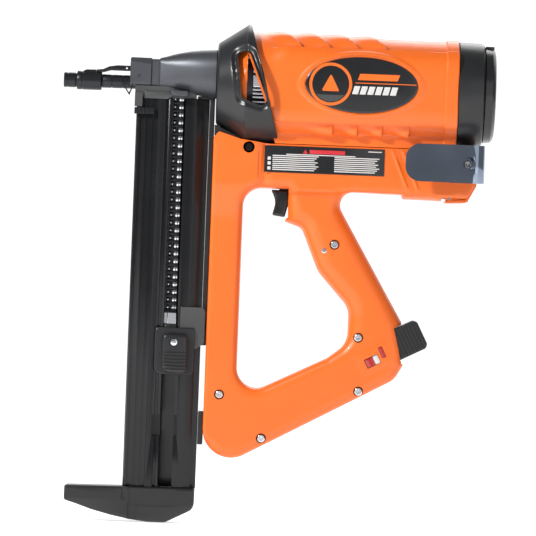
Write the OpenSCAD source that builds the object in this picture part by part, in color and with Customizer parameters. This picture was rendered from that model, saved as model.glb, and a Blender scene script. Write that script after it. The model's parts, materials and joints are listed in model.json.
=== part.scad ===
// Gas-combustion fastening tool with a strip magazine, in millimetres.
// The origin is the centre of the muzzle. +X runs back along the barrel, +Z is up and -Y is the tool's left side.

/* [Muzzle and nose] */
// Length of the narrow front collar of the work contact
tip_len = 12; // [8:1:14]
// Radius of the narrow front collar
tip_r = 7.2; // [6:0.1:8]
// Length of the thick collar behind it
collar_len = 24.5; // [18:0.5:28]
// Radius of the thick collar
collar_r = 9; // [8:0.1:9.6]
// Radius of the muzzle bore, which passes the fastener's head
muzzle_r = 3.5; // [3.2:0.1:4.2]
// Outer radius of the work contact's sliding tube
tube_r = 6.5; // [5.8:0.1:8]
// Distance from the muzzle to the front of the nose casting
nose_x = 63.5; // [58:0.5:80]
// How far the work contact is pushed in before the tool can fire
contact_travel = 15; // [10:1:18]
// Top of the nose casting above the barrel line
nose_top = 23.7; // [20:0.5:28]
// Half width of the nose casting's front block
nose_half = 12; // [10:0.5:14]
// Radius of the nose casting where it meets the front shroud
nose_flare_r = 34; // [30:0.5:36]

/* [Driver] */
// Radius of the driver blade
blade_r = 2.8; // [2.4:0.1:2.9]
// Length of the driver's stroke
stroke = 100; // [84:1:120]
// Radius of the cylinder bore
bore_r = 26; // [22:0.5:28]
// Wall of the cylinder
cyl_wall = 3; // [2.5:0.5:4]
// Height of the cooling fins on the cylinder
fin_h = 4; // [3:0.5:4.5]
// Length of the piston
piston_len = 13; // [10:1:18]
// Length of the rubber bumper
bumper_len = 14; // [10:1:20]

/* [Combustion chamber] */
// Inner radius of the sliding chamber sleeve
sleeve_r = 36.5; // [35.5:0.5:37]
// Wall of the chamber sleeve
sleeve_wall = 2.5; // [2:0.5:3]
// Length of the chamber sleeve
sleeve_len = 54; // [50:1:60]
// Thickness of the cylinder head
head_len = 12; // [10:1:14]
// Radius of the fan
fan_r = 24; // [18:1:28]
// Radius of the fan motor
motor_r = 14; // [11:0.5:15]
// Length of the fan motor
motor_len = 37; // [30:1:40]

/* [Covers] */
// Radius of the upper covers
cover_r = 52; // [50:0.5:54]
// Half width across the flat sides of the upper covers
flat_y = 46; // [45:0.5:48]
// Wall of the upper covers
cover_wall = 2.5; // [2:0.25:3]
// Largest radius of the front shroud
shroud_r = 57.8; // [57:0.2:62]
// Wall of the front shroud
shroud_wall = 2.5; // [2:0.25:2.8]
// Radius of the rear cap
cap_r = 50; // [48:0.5:52]
// Length of the rear cap's smooth part
cap_len = 25; // [20:1:32]
// Length of the filter grille behind it
grille_len = 11; // [8:1:14]
// Half length of the oval badge
badge_a = 53.5; // [40:0.5:56]
// Half height of the oval badge
badge_b = 26.7; // [20:0.1:28]

/* [Handle] */
// Front of the front strut
strut_x = 146; // [145:0.5:150]
// Width of the front strut, front to back
strut_w = 30.3; // [25:0.1:34]
// Height of the hand opening at the front strut
opening_h = 203.5; // [170:0.5:245]
// Half thickness of the handle frame
frame_half = 20.5; // [20:0.5:24]
// Half thickness of the fuel-cell compartment
bay_half = 27; // [26:0.5:30]
// Height of the fuel-cell compartment
bay_h = 42.5; // [41:0.5:51]
// Wall of the handle halves
handle_wall = 3; // [2.5:0.25:3.5]
// Radius of the fuel cell
cell_r = 16.5; // [14:0.5:18]
// Length of the fuel cell
cell_len = 142; // [118:1:145]
// How far the trigger is pulled
trigger_travel = 6; // [4:0.5:7]

/* [Battery] */
// Length of the battery inside the leg
battery_len = 84; // [70:1:101]
// Half width of the battery
battery_half = 16.5; // [14:0.5:17]
// Length of the battery's ribbed end cap
battery_cap_len = 35; // [30:1:38]

/* [Magazine] */
// Front face of the magazine, measured from the muzzle
mag_x = 70.8; // [68:0.1:74]
// Width of the magazine, front to back
mag_w = 70.2; // [69:0.1:72]
// Length of the thin web that closes the gap between magazine and handle
web_drop = 200; // [150:1:250]
// Half thickness of the magazine
mag_half = 13; // [11:0.5:15]
// Distance between the fasteners in the strip
pin_pitch = 7.4; // [6.5:0.1:8.2]
// Number of fasteners in the strip
pin_count = 29; // [10:1:30]
// Length of a fastener
pin_len = 25; // [15:1:25]
// Radius of a fastener's shank
pin_r = 1.45; // [1:0.05:1.8]
// Radius of a fastener's head
pin_head_r = 3.1; // [2.4:0.1:3.2]
// How far the follower can be pulled back
follower_travel = 100; // [80:1:110]
// Height of the foot under the magazine
foot_h = 33.8; // [28:0.2:40]
// Half width of the foot
foot_half = 17; // [15:0.5:20]

/* [Belt hook] */
// Width of the belt hook's strap
hook_w = 36; // [28:0.5:38]
// Thickness of the belt hook's strap
hook_t = 2.5; // [2:0.25:3]
// Gap between the belt hook's two legs
hook_gap = 17; // [14:0.5:20]

/* [Fits] */
// Radial clearance of a running fit
fit = 0.05; // [0.02:0.01:0.08]
// Gap beside a sliding piece
slide_gap = 0.35; // [0.3:0.05:0.5]

/* [Hidden] */
$fn = 48;

// Barrel line, from the muzzle backwards
collar_x1 = tip_len + collar_len;
tube_x1 = nose_x + 11.5;
chamber_x0 = tube_x1 + contact_travel + 0.5;
pin_x0 = chamber_x0 + 0.5;
pin_x1 = pin_x0 + pin_len;
chamber_x1 = pin_x1 + 1.5;
blade_x0 = pin_x1 + 2;
shroud_x0 = strut_x + 1;
spider_x = shroud_x0 + 10;
spider_t = 3;
hub_x1 = spider_x + spider_t + contact_travel + 0.5;
flange_len = 6;
flange_r = sleeve_r - 1;
cyl_x = hub_x1 + flange_len;
cyl_x1 = cyl_x + bumper_len + stroke + piston_len + 4;
piston_x = cyl_x + bumper_len + stroke;
cyl_r = bore_r + cyl_wall;
seal_r = sleeve_r - 0.5;
valve_z = 4.5;
head_x = cyl_x1 + 37.5;
sleeve_x = head_x - 8 - sleeve_len;
sleeve_out = sleeve_r + sleeve_wall;
head_flange_x = head_x + head_len;
head_flange_t = 4;
head_flange_r = flat_y - cover_wall - 0.2;
motor_x = head_x - 5;
rod_r = 1.7;
rod_at = flange_r + 1 + rod_r;
spring_wire = 1.1;
spring_r = (sleeve_out + head_flange_r) / 2;
cover_x0 = shroud_x0 + 13;
cover_x1 = head_flange_x + head_flange_t;
cover_end = cover_x1 + 11.6;
grille_x = cover_end + cap_len;
shroud_rise = 1.5;
shroud_peak_x = shroud_x0 + 28.8;
shroud_front_r = 39.3;
arm_z0 = 10.2;
arm_z1 = 15.6;
arm_half = 5;

// Handle frame
seam_z = -54.5;
bay_floor = seam_z - bay_h;
strut_x1 = strut_x + strut_w;
open_z = bay_floor - opening_h;
cell_z = seam_z - 6.5 - cell_r;
bay_x1 = cover_x1 + 32.5;
hook_bend_r = hook_gap / 2 + hook_t;
hook_bend_x = bay_x1 + 6.5 - hook_bend_r;
hook_screw_x = hook_bend_x - 4.6;
hook_z = seam_z - 13;
trigger_x = strut_x1 + 43;
pocket_x1 = trigger_x + 11;
cell_x = pocket_x1 + 14;
leg_slope = 0.496;
leg_angle = 27;
heel_z = open_z - 74.5;
battery_at = [cover_x1 - 13.2, 0, open_z + 70.7];
battery_top = 9;
battery_low = -19;

// Magazine
mag_x1 = mag_x + mag_w;
mag_top = -14;
mag_bottom = heel_z - 12;
channel_x1 = chamber_x1;
channel_half = pin_head_r + 0.6;
slot_x0 = pin_x1 - 11;
strip_end = -pin_pitch * pin_count - 3;
follower_top = strip_end - 2;
foot_bottom = mag_bottom - foot_h;

// Screws through the two handle halves: x, z and head radius
frame_screws = [[strut_x + 14.5, open_z + 4.5, 3.9], [strut_x + 56.1, open_z - 36, 3.9],
    [battery_at[0] - 59.5, open_z + 12.3, 3.9], [battery_at[0] - 61.5, open_z + 63.8, 3.9],
    [trigger_x + 46, bay_floor - 51.7, 3.9], [strut_x1 + 3.7, seam_z - 4, 4.6]];
boss_r = 6;
screw_r = 2;

// Unit vector
function unit(v) = v / norm(v);

// The arc that rounds corner b between its neighbours a and c; the corner is [x, z, radius]
function corner(a, b, c) =
    let (p = [b[0], b[1]], u = unit([a[0], a[1]] - p), v = unit([c[0], c[1]] - p), r = b[2])
    r <= 0 ? [p] :
    let (half = acos(u * v) / 2, mid = p + unit(u + v) * r / sin(half), start = p + u * r / tan(half),
        from = start - mid, side = cross(-u, v) > 0 ? 1 : -1, sweep = side * (180 - 2 * half),
        n = max(2, ceil(abs(sweep) / 15)), a0 = atan2(from[1], from[0]))
    [for (k = [0:n]) mid + r * [cos(a0 + sweep * k / n), sin(a0 + sweep * k / n)]];

// An outline with every corner rounded by its own radius
function rounded(pts) = let (n = len(pts))
    [for (i = [0:n - 1]) each corner(pts[(i + n - 1) % n], pts[i], pts[(i + 1) % n])];

// A counter-clockwise outline moved inwards by d, or outwards where d is negative
function inset(pts, d) = let (n = len(pts))
    [for (i = [0:n - 1])
        let (a = pts[(i + n - 1) % n], b = pts[i], c = pts[(i + 1) % n],
            e = unit([b[0] - a[0], b[1] - a[1]]), f = unit([c[0] - b[0], c[1] - b[1]]),
            m = ([-e[1], e[0]] + [-f[1], f[0]]) / (1 + e * f),
            r = b[2] <= 0 ? 0 : max(b[2] - d * (cross(e, f) > 0 ? 1 : -1), 0.3))
        [b[0] + d * m[0], b[1] + d * m[1], r]];

// Points of an ellipse
function ellipse(a, b, n = 64) = [for (k = [0:n - 1]) [a * cos(360 * k / n), b * sin(360 * k / n)]];

// Cylinder along X
module xcyl(x, len, r) translate([x, 0, 0]) rotate([0, 90, 0]) cylinder(h = len, r = r);

// Cylinder along Y from y0 to y1
module ycyl(x, z, y0, y1, r) translate([x, y0, z]) rotate([-90, 0, 0]) cylinder(h = y1 - y0, r = r);

// Solid turned about the barrel line from points [x, radius]
module turned(profile) rotate([0, 90, 0]) rotate_extrude($fn = 96) polygon([for (p = profile) [p[1], p[0]]]);

// Side outline [x, z] given a thickness from y0 to y1
module slab(outline, y0, y1) translate([0, y1, 0]) rotate([90, 0, 0]) linear_extrude(y1 - y0) polygon(outline);

// Box between two corners
module box(a, b) translate(a) cube(b - a);

// Half of space on one side of the tool: side -1 is the left, 1 is the right
module half_space(side) {
    big = 600;
    translate([-50, side > 0 ? 0 : -big, -500]) cube([big, big, 2 * big]);
}

// Coil spring along X
module coil(x0, x1, r, wire, turns, sides = 6, steps = 16) {
    n = turns * steps;
    pitch = (x1 - x0 - 2 * wire) / turns;
    rings = [for (i = [0:n]) let (t = 360 * i / steps, x = x0 + wire + pitch * i / steps)
        for (j = [0:sides - 1]) let (u = 360 * j / sides)
            [x + wire * sin(u), (r + wire * cos(u)) * cos(t), (r + wire * cos(u)) * sin(t)]];
    sides_f = [for (i = [0:n - 1]) for (j = [0:sides - 1])
        [i * sides + j, (i + 1) * sides + j, (i + 1) * sides + (j + 1) % sides, i * sides + (j + 1) % sides]];
    ends = [[for (j = [0:sides - 1]) j], [for (j = [sides - 1:-1:0]) n * sides + j]];
    polyhedron(rings, concat(sides_f, ends));
}

// ---- Upper housing ----

// Outline of the window in the front shroud, grown by g
function window(g) = rounded(inset([[shroud_x0 + 24.5, -13.2, 5], [shroud_x0 + 51.5, -22.1, 5],
    [shroud_x0 + 29.9, 33.1, 5], [shroud_x0 + 19, 29.8, 5]], -g));

// Body of the shroud with its radius grown by g, cut by the slanted rear edge
module shroud_body(g) {
    rear_foot = shroud_x0 + 63.4;
    intersection() {
        translate([0, 0, shroud_rise]) turned([[shroud_x0 - max(g, 0), 0],
            [shroud_x0 - max(g, 0), shroud_front_r + g], [shroud_peak_x, shroud_r + g],
            [rear_foot + 4, shroud_r + g], [rear_foot + 4, 0]]);
        slab([[shroud_x0 - 2, -70], [rear_foot + max(g, 0) + 2, -70], [shroud_x0 + 33 + max(g, 0), 53],
            [shroud_x0 + 29, 66], [shroud_x0 - 2, 66]], -70, 70);
    }
}

// Hollow of the shroud with its radius shrunk by g
module shroud_hollow(g) translate([0, 0, shroud_rise]) turned([[shroud_x0 + shroud_wall, 0],
    [shroud_x0 + shroud_wall, shroud_front_r - shroud_wall - 1 - g], [shroud_peak_x, shroud_r - shroud_wall - g],
    [shroud_x0 + 80, shroud_r - shroud_wall - g], [shroud_x0 + 80, 0]]);

module front_shroud() color("#1c1c1e") difference() {
    shroud_body(0);
    shroud_hollow(0);
    xcyl(shroud_x0 - 5, 10, nose_flare_r + 0.5);
    slab(window(0), -70, 70);
}

// Section of the upper covers, shrunk by g
module cover_form(x0, x1, g) intersection() {
    xcyl(x0, x1 - x0, cover_r - g, $fn = 96);
    box([x0, -flat_y + g, -70], [x1, flat_y - g, 70]);
}

module cover(side) color("#f26a1b") intersection() {
    keel_x = shroud_x0 + 67;
    difference() {
        union() {
            cover_form(cover_x0, cover_end, 0);
            box([keel_x, -bay_half, seam_z], [cover_x1, bay_half, -30]);
            intersection() {
                xcyl(cover_x1, cover_end - cover_x1, cover_r + 1.5);
                box([cover_x1, -flat_y - 2, -60], [cover_end, flat_y + 2, 60]);
            }
            for (s = [-1, 1]) translate([cover_x1 - 81, s * (flat_y - 1), 3.6]) rotate([90, 0, 0])
                linear_extrude(4, center = true) polygon(ellipse(badge_a + 4, badge_b + 2.1));
            for (x = [cover_x1 - 33, cover_x1 - 57, cover_x1 - 81, cover_x1 - 106])
                for (s = [-1, 1]) box([x - 11, s > 0 ? 24 : -38, -50], [x, s > 0 ? 38 : -24, -38]);
        }
        cover_form(cover_x0 + cover_wall, cover_end + 1, cover_wall);
        xcyl(cover_x0 - 1, cover_wall + 2, rod_at + rod_r + 2);
        box([keel_x + handle_wall, -bay_half + handle_wall, seam_z - 5],
            [cover_x1 - handle_wall, bay_half - handle_wall, -30]);
        intersection() {
            slab(window(-1.8), -70, 70);
            box([shroud_x0 + 29, -70, -70], [shroud_x0 + 70, 70, 70]);
        }
        difference() {
            xcyl(cover_x0 - 1, shroud_peak_x - cover_x0 + 1, 70);
            shroud_hollow(0.4);
        }
    }
    half_space(side);
}

module cover_left() cover(-1);
module cover_right() cover(1);

module rear_cap() color("#202022") difference() {
    turned([[cover_end, 0], [cover_end, cap_r], [grille_x - 2.5, cap_r], [grille_x, cap_r - 2.5], [grille_x, 0]]);
    xcyl(cover_end - 1, cap_len - 2, cap_r - 3);
    for (a = [0:45:315]) rotate([a, 0, 0]) translate([grille_x - 5, 0, 30]) rotate([0, 90, 0]) cylinder(h = 8, r = 8);
}

module filter_grille() color("#262628") difference() {
    turned([[grille_x, 0], [grille_x, cap_r - 4], [grille_x + grille_len - 4, cap_r - 4.5],
        [grille_x + grille_len, cap_r - 10], [grille_x + grille_len, 0]]);
    xcyl(grille_x - 1, grille_len - 2, cap_r - 8);
    for (y = [-33:6:33]) box([grille_x - 1, y - 1.5, -24], [grille_x + grille_len + 1, y + 1.5, 24]);
}

module air_filter() color("#5b5b52") difference() {
    xcyl(grille_x, grille_len - 4, cap_r - 8.5);
    xcyl(grille_x - 1, grille_len, 8);
}

module badge_plates() color("#161616") for (s = [-1, 1])
    translate([cover_x1 - 81, s * (flat_y + 1.5), 3.6]) rotate([90, 0, 0])
        linear_extrude(1, center = true) polygon(ellipse(badge_a, badge_b));

// ---- Handle ----

// Fuel-cell compartment seen from the left
function bay_outline() = [[strut_x, bay_floor, 0], [strut_x + 182, bay_floor - 1.5, 0],
    [strut_x + 183, bay_floor - 5.5, 1], [bay_x1 - 28, bay_floor - 6, 1], [bay_x1 - 10, bay_floor - 5.5, 4],
    [bay_x1 - 1.5, bay_floor + 9, 4], [bay_x1 - 1.5, seam_z, 1], [strut_x + 54, seam_z, 0],
    [strut_x + 26, seam_z + 3.5, 3], [strut_x + 5, seam_z + 10, 2], [strut_x, seam_z + 4, 2]];

// Outside of the D-shaped frame under the compartment
function frame_outline() = [[strut_x, heel_z, 27], [battery_at[0] - 25.8, open_z + 24.5, 18],
    [battery_at[0] - 17.8, open_z + 38.5, 3], [battery_at[0] - 20.5, open_z + 80.2, 3],
    [trigger_x + 42.3, bay_floor - 1, 12.5], [trigger_x + 42.3, bay_floor + 8, 0],
    [strut_x, bay_floor + 8, 0]];

// The hand opening
function opening_outline() = [[strut_x1, open_z, 19], [trigger_x + 43, open_z + leg_slope * (trigger_x + 43 - strut_x1), 3],
    [trigger_x + 62, open_z + 57.5, 22], [trigger_x + 62, open_z + 91.5, 22],
    [trigger_x + 31, bay_floor - 78, 34], [trigger_x + 14, bay_floor - 37, 10],
    [trigger_x - 3, bay_floor - 31, 1], [trigger_x, bay_floor - 27, 1], [trigger_x, bay_floor, 0],
    [strut_x1, bay_floor, 18]];

// Space that the trigger and its guide move in
module trigger_pocket() box([trigger_x - 12, -8.4, bay_floor - 27.6], [pocket_x1, 8.4, bay_floor + 8]);

// The battery's own frame: x runs out of the leg, z across it
module battery_frame() translate(battery_at) rotate([0, -leg_angle, 0]) children();

module battery_bay() battery_frame() {
    box([-battery_cap_len - battery_len - 6, -battery_half - 0.5, battery_low - 0.5],
        [5, battery_half + 0.5, battery_top + 0.5]);
    box([-battery_cap_len - 1, -battery_half - 1.5, -15.5], [10, battery_half + 1.5, 15.5]);
}

// Space between the frame's inner and outer walls
module frame_hollow() difference() {
    slab(rounded(inset(frame_outline(), handle_wall)), handle_wall - frame_half, frame_half - handle_wall);
    slab(rounded(inset(opening_outline(), -handle_wall)), -frame_half, frame_half);
}

module handle(side) color("#f26a1b") intersection() {
    difference() {
        union() {
            difference() {
                union() {
                    slab(rounded(bay_outline()), -bay_half, bay_half);
                    difference() {
                        slab(rounded(frame_outline()), -frame_half, frame_half);
                        slab(rounded(opening_outline()), -frame_half - 1, frame_half + 1);
                    }
                }
                slab(rounded(inset(bay_outline(), handle_wall)), handle_wall - bay_half, bay_half - handle_wall);
                box([shroud_x0 + 67 + handle_wall, handle_wall - bay_half, -70],
                    [cover_x1 - handle_wall, bay_half - handle_wall, 0]);
                frame_hollow();
            }
            for (s = frame_screws) ycyl(s[0], s[1], -frame_half, frame_half, boss_r);
        }
        shroud_body(0.3);
        box([bay_x1 - 31.5, handle_wall - bay_half, -130], [bay_x1 + 5, bay_half - handle_wall, seam_z + 5]);
        trigger_pocket();
        battery_bay();
        for (s = frame_screws) {
            ycyl(s[0], s[1], -frame_half - 8, frame_half - 3, screw_r + 0.15);
            ycyl(s[0], s[1], -bay_half - 1, -frame_half + 3, s[2] + 0.9);
        }
        ycyl(hook_screw_x, hook_z, -bay_half - 1, bay_half - 10, screw_r + 0.15);
        ycyl(bay_x1 - 25.5, bay_floor - 3, -bay_half + 1.5, bay_half - 1.5, 1.5 + 0.02);
        indicator_windows(0.15, frame_half + 1);
    }
    half_space(side);
}

module handle_left() handle(-1);
module handle_right() handle(1);

// The two small windows in the leg's left side, grown by g and reaching out to y
module indicator_windows(g, y) battery_frame() {
    box([-62 - g, -y, -9 - g], [-48 + g, -frame_half + 2, 0 + g]);
    box([-45 - g, -y, -6 - g], [-41 + g, -frame_half + 2, 5 + g]);
}

module indicator_lenses() color("#a3262b") indicator_windows(0, frame_half - 0.3);

module label_plates() color("#151515") for (s = [-1, 1])
    box([strut_x + 49, s > 0 ? bay_half : -bay_half - 0.6, seam_z - 27.5],
        [strut_x + 164, s > 0 ? bay_half + 0.6 : -bay_half, seam_z - 1.5]);

module housing_screws() color("#c9ccd1") for (s = frame_screws) {
    difference() {
        ycyl(s[0], s[1], -frame_half + 0.5, -frame_half + 3, s[2]);
        ycyl(s[0], s[1], -frame_half, -frame_half + 2, s[2] * 0.45, $fn = 6);
    }
    ycyl(s[0], s[1], -frame_half + 3, frame_half - 6, screw_r);
}

module hinge_pin() color("#b9bcc1") ycyl(bay_x1 - 25.5, bay_floor - 3, -bay_half + 1.5, bay_half - 1.5, 1.5);

module fuel_door() color("#f26a1b") {
    door_half = bay_half - handle_wall - 0.4;
    knuckle_x = bay_x1 - 25.5;
    knuckle_z = bay_floor - 3;
    difference() {
        union() {
            slab(rounded([[bay_x1 - 29, bay_floor - 5.8, 0], [bay_x1 - 29, bay_floor - 8, 1],
                [bay_x1 - 8.5, bay_floor - 7, 5], [bay_x1, bay_floor + 9, 4], [bay_x1, seam_z - 0.5, 0],
                [bay_x1 - 2.5, seam_z - 0.5, 0], [bay_x1 - 2.5, bay_floor + 9.6, 3],
                [bay_x1 - 10, bay_floor - 4.5, 4], [bay_x1 - 23, bay_floor - 5.5, 0]]), -door_half, door_half);
            ycyl(knuckle_x, knuckle_z, -door_half, door_half, 3);
        }
        ycyl(knuckle_x, knuckle_z, -bay_half, bay_half, 1.5 + fit);
    }
}

module trigger() color("#1a1a1c") difference() {
    union() {
        slab(rounded([[trigger_x - 16.7, bay_floor - 1, 1], [trigger_x - 11.5, bay_floor - 12, 14],
            [trigger_x - 14.8, bay_floor - 25.5, 1.5], [trigger_x - 2.5, bay_floor - 27.2, 2],
            [trigger_x + 1.3, bay_floor - 11.4, 6], [trigger_x + 1, bay_floor - 1, 1]]), -8, 8);
        box([trigger_x - 9, -5, bay_floor - 3], [trigger_x + 4, 5, bay_floor + 7]);
    }
    xcyl_at(trigger_x - 4, -4 + bay_floor - 11, 10, 3.6);
}

// Blind hole along X at height z
module xcyl_at(x, z, len, r) translate([0, 0, z]) xcyl(x, len, r);

module trigger_switch() color("#2b2b2e") translate([0, 0, bay_floor]) {
    box([pocket_x1 + 0.2, -6, -26], [pocket_x1 + 14, 6, -8]);
    box([pocket_x1 + 3, -6.5, -8], [pocket_x1 + 11, 6.5, -5]);
}

module trigger_spring() color("#c9ccd1") translate([0, 0, bay_floor - 15])
    coil(trigger_x - 3.9, pocket_x1 + 0.1, 2.4, 0.4, 6);

module fuel_cell() color("#d7d9dc") translate([0, 0, cell_z]) difference() {
    turned([[cell_x, 0], [cell_x, cell_r * 0.55], [cell_x + 5, cell_r - 1], [cell_x + 7, cell_r],
        [cell_x + cell_len - 2, cell_r], [cell_x + cell_len, cell_r - 2], [cell_x + cell_len, 0]]);
    xcyl(cell_x + cell_len - 3, 4, cell_r - 5);
}

module metering_valve() color("#3a3d42") translate([0, 0, cell_z]) {
    xcyl(cell_x - 17, 14, 7.5);
    xcyl(cell_x - 3, 3, 3);
    box([cell_x - 14, -5, 7], [cell_x - 6, 5, 12]);
}

// Copper pipe from the metering valve to the cylinder head
module fuel_line() color("#b87333") {
    pipe_r = 1.5;
    pipe_z = seam_z + 7;
    x0 = cell_x - 10;
    x1 = cover_x1 + 3;
    translate([x0, 0, cell_z + 12]) cylinder(h = pipe_z - cell_z - 12, r = pipe_r);
    translate([x0, 0, pipe_z]) sphere(pipe_r);
    xcyl_at(x0, pipe_z, x1 - x0, pipe_r);
    translate([x1, 0, pipe_z]) sphere(pipe_r);
    translate([x1, 0, pipe_z]) cylinder(h = -pipe_z - 20, r = pipe_r);
}

module control_board() color("#1f5a37") {
    board_x = strut_x + handle_wall + 3;
    box([board_x, -0.8, open_z + 20], [strut_x1 - handle_wall - 3.3, 0.8, bay_floor - 25]);
    for (k = [0:4]) box([board_x + 2, 0.8, open_z + 40 + 22 * k], [board_x + 11, 4, open_z + 49 + 22 * k]);
}

module spark_unit() color("#2a2a55") box([strut_x + 6, -9, open_z - 40], [strut_x + 26, 9, open_z - 4]);

// ---- Battery ----

module battery_pack() color("#2c2d30") battery_frame()
    box([-battery_cap_len - battery_len, -battery_half, battery_low], [-battery_cap_len, battery_half, battery_top]);

module battery_cap() color("#232325") battery_frame() {
    cap_half = battery_half + 1;
    box([-battery_cap_len, -cap_half, -15], [-1.5, cap_half, 15]);
    box([-1.5, -cap_half + 1.5, -13.5], [0, cap_half - 1.5, 13.5]);
}

module battery_contacts() color("#c8a24a") battery_frame() for (z = [-14, -5, 4])
    box([-battery_cap_len - battery_len - 5.5, -4, z - 1], [-battery_cap_len - battery_len - 0.5, 4, z + 1]);

// ---- Engine ----

// Side outline of the nose casting
function nose_outline() = [[nose_x, -3], [nose_x + 40.5, -3], [shroud_x0, -13], [shroud_x0, nose_flare_r - 0.4],
    [nose_x + 52, 30.7], [nose_x + 30.5, nose_top], [nose_x, nose_top]];

module nose_casting() color("#6d7076") difference() {
    union() {
        intersection() {
            slab(nose_outline(), -40, 40);
            linear_extrude(200, center = true) polygon([[nose_x, -nose_half], [nose_x + 28, -nose_half],
                [shroud_x0, -nose_flare_r + 4], [shroud_x0, nose_flare_r - 4], [nose_x + 28, nose_half],
                [nose_x, nose_half]]);
            turned([[nose_x - 1, 0], [nose_x - 1, 26], [nose_x + 30.5, 26], [nose_x + 52, 32],
                [shroud_x0 + 1, nose_flare_r], [shroud_x0 + 1, 0]]);
        }
        xcyl(shroud_x0 - 0.01, hub_x1 - shroud_x0 + 0.02, 9.5);
        xcyl(hub_x1, flange_len, flange_r);
    }
    xcyl(nose_x - 1, chamber_x0 - nose_x + 1, tube_r + fit);
    box([chamber_x0 - 0.1, -channel_half, -60], [chamber_x1, channel_half, channel_half]);
    xcyl(chamber_x1 - 1, cyl_x - chamber_x1 + 3, blade_r + fit + 0.02);
    box([nose_x - 1, -arm_half - slide_gap, arm_z0 - slide_gap],
        [shroud_x0 + 1, arm_half + slide_gap, arm_z1 + slide_gap]);
    for (a = [0:90:270]) rotate([a, 0, 0]) xcyl_at(hub_x1 - 1, cyl_r + 2.8, flange_len + 2, 2.1);
}

module nose_bolts() color("#3b3d41") for (a = [0:90:270]) rotate([a, 0, 0]) translate([0, 0, cyl_r + 2.8]) {
    difference() {
        xcyl(hub_x1 - 4, 4, 3.4);
        xcyl(hub_x1 - 4.1, 2.2, 1.8, $fn = 6);
    }
    xcyl(hub_x1, flange_len + 5, 2);
}

// Bent wire at the lower front corner of the nose casting
module nose_wire_clip() color("#2a2a2c") slab([[nose_x - 7, -2.5], [nose_x, -13.3], [nose_x + 3.2, -5],
    [nose_x + 3.2, -2.5], [nose_x + 1.8, -2.5], [nose_x + 1.8, -5.5], [nose_x - 0.4, -10.4], [nose_x - 4.8, -3.6],
    [nose_x - 2, -3.6], [nose_x - 2, -2.5]], -nose_half - 1.6, -nose_half);

// Fins on both sides, clear of the valve band just above the middle
module cylinder_fins() for (s = [-1, 1]) for (a = concat([for (k = [0:9]) -8 - 8 * k], [for (k = [0:5]) 24 + 11 * k]))
    rotate([s * (a - 90), 0, 0]) box([cyl_x + flange_len + 3, -0.7, cyl_r - 1], [cyl_x1 - 30, 0.7, cyl_r + fin_h]);

module drive_cylinder() color("#b6babf") difference() {
    union() {
        xcyl(cyl_x, cyl_x1 - cyl_x, cyl_r, $fn = 96);
        xcyl(cyl_x, flange_len, flange_r);
        xcyl(cyl_x1 - 7, 7, seal_r);
        cylinder_fins();
    }
    xcyl(cyl_x - 1, cyl_x1 - cyl_x + 2, bore_r, $fn = 96);
    for (a = [0:90:270]) rotate([a, 0, 0]) xcyl_at(cyl_x - 1, cyl_r + 2.8, flange_len + 2, 2.1);
    xcyl_ring(cyl_x1 - 4.9, 2.8, seal_r - 1.9, seal_r + 1);
    for (x = [cyl_x + 22:6:cyl_x + 34]) ycyl(x, valve_z, -60, 60, 2.2);
}

// Ring about the barrel line
module xcyl_ring(x, len, r0, r1) difference() {
    xcyl(x, len, r1);
    xcyl(x - 1, len + 2, r0);
}

module bumper() color("#2e2e30") difference() {
    turned([[cyl_x, 0], [cyl_x, bore_r - 0.1], [cyl_x + bumper_len - 3, bore_r - 0.5],
        [cyl_x + bumper_len - 0.3, bore_r - 5], [cyl_x + bumper_len - 0.3, 0]]);
    xcyl(cyl_x - 1, bumper_len + 2, blade_r + 0.6);
}

module reed_valves() color("#aeb3ba") for (s = [-1, 1]) {
    y = cyl_r + 1.5;
    box([cyl_x + 18, s > 0 ? y : -y - 0.5, valve_z - 4.5], [cyl_x + 42, s > 0 ? y + 0.5 : -y, valve_z + 4.5]);
    ycyl(cyl_x + 40, valve_z, s > 0 ? cyl_r - 0.12 : -y, s > 0 ? y : -cyl_r + 0.12, 1.5);
}

module cylinder_head() color("#9ba0a6") difference() {
    union() {
        xcyl(head_x, head_len, seal_r);
        xcyl(head_flange_x, head_flange_t, head_flange_r);
        xcyl(cover_x1, 8, 20);
    }
    xcyl_ring(head_x + 3, 2.8, seal_r - 1.9, seal_r + 1);
    xcyl(head_x - 1, head_len + head_flange_t + 12, motor_r + 0.05);
    translate([0, 22, 14]) xcyl(head_x - 1, head_len + head_flange_t + 2, 5.05);
}

module head_seals() color("#111111") for (x = [head_x + 4.4, cyl_x1 - 3.5])
    rotate([0, 90, 0]) rotate_extrude($fn = 96) translate([seal_r - 0.9, x]) circle(1, $fn = 16);

module fan_motor() color("#8d9299") difference() {
    turned([[motor_x, 0], [motor_x, 6], [motor_x + 3, 6], [motor_x + 3, motor_r], [motor_x + motor_len, motor_r],
        [motor_x + motor_len, 4], [motor_x + motor_len + 3, 4], [motor_x + motor_len + 3, 0]]);
    xcyl(motor_x - 1, 16, 1.5 + fit);
}

module fan() color("#c3c7cc") {
    fan_x = motor_x - 15;
    xcyl(fan_x + 9, 20, 1.5);
    xcyl(fan_x, 9, 5);
    for (a = [0:60:300]) rotate([a, 0, 0]) translate([fan_x + 4.5, 0, fan_r / 2 + 1]) rotate([0, 0, 35])
        cube([1.2, 9, fan_r - 4], center = true);
}

module spark_plug() color("#e9e6df") translate([0, 22, 14]) {
    xcyl(head_x - 3, head_len + head_flange_t + 3, 5);
    xcyl(head_x - 7, 4, 1.2);
    xcyl(cover_x1, 14, 3.2);
}

module return_spring() color("#c9ccd1") coil(sleeve_x + 3, head_flange_x, spring_r, spring_wire, 8, 6, 24);

// ---- Work contact ----

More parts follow.
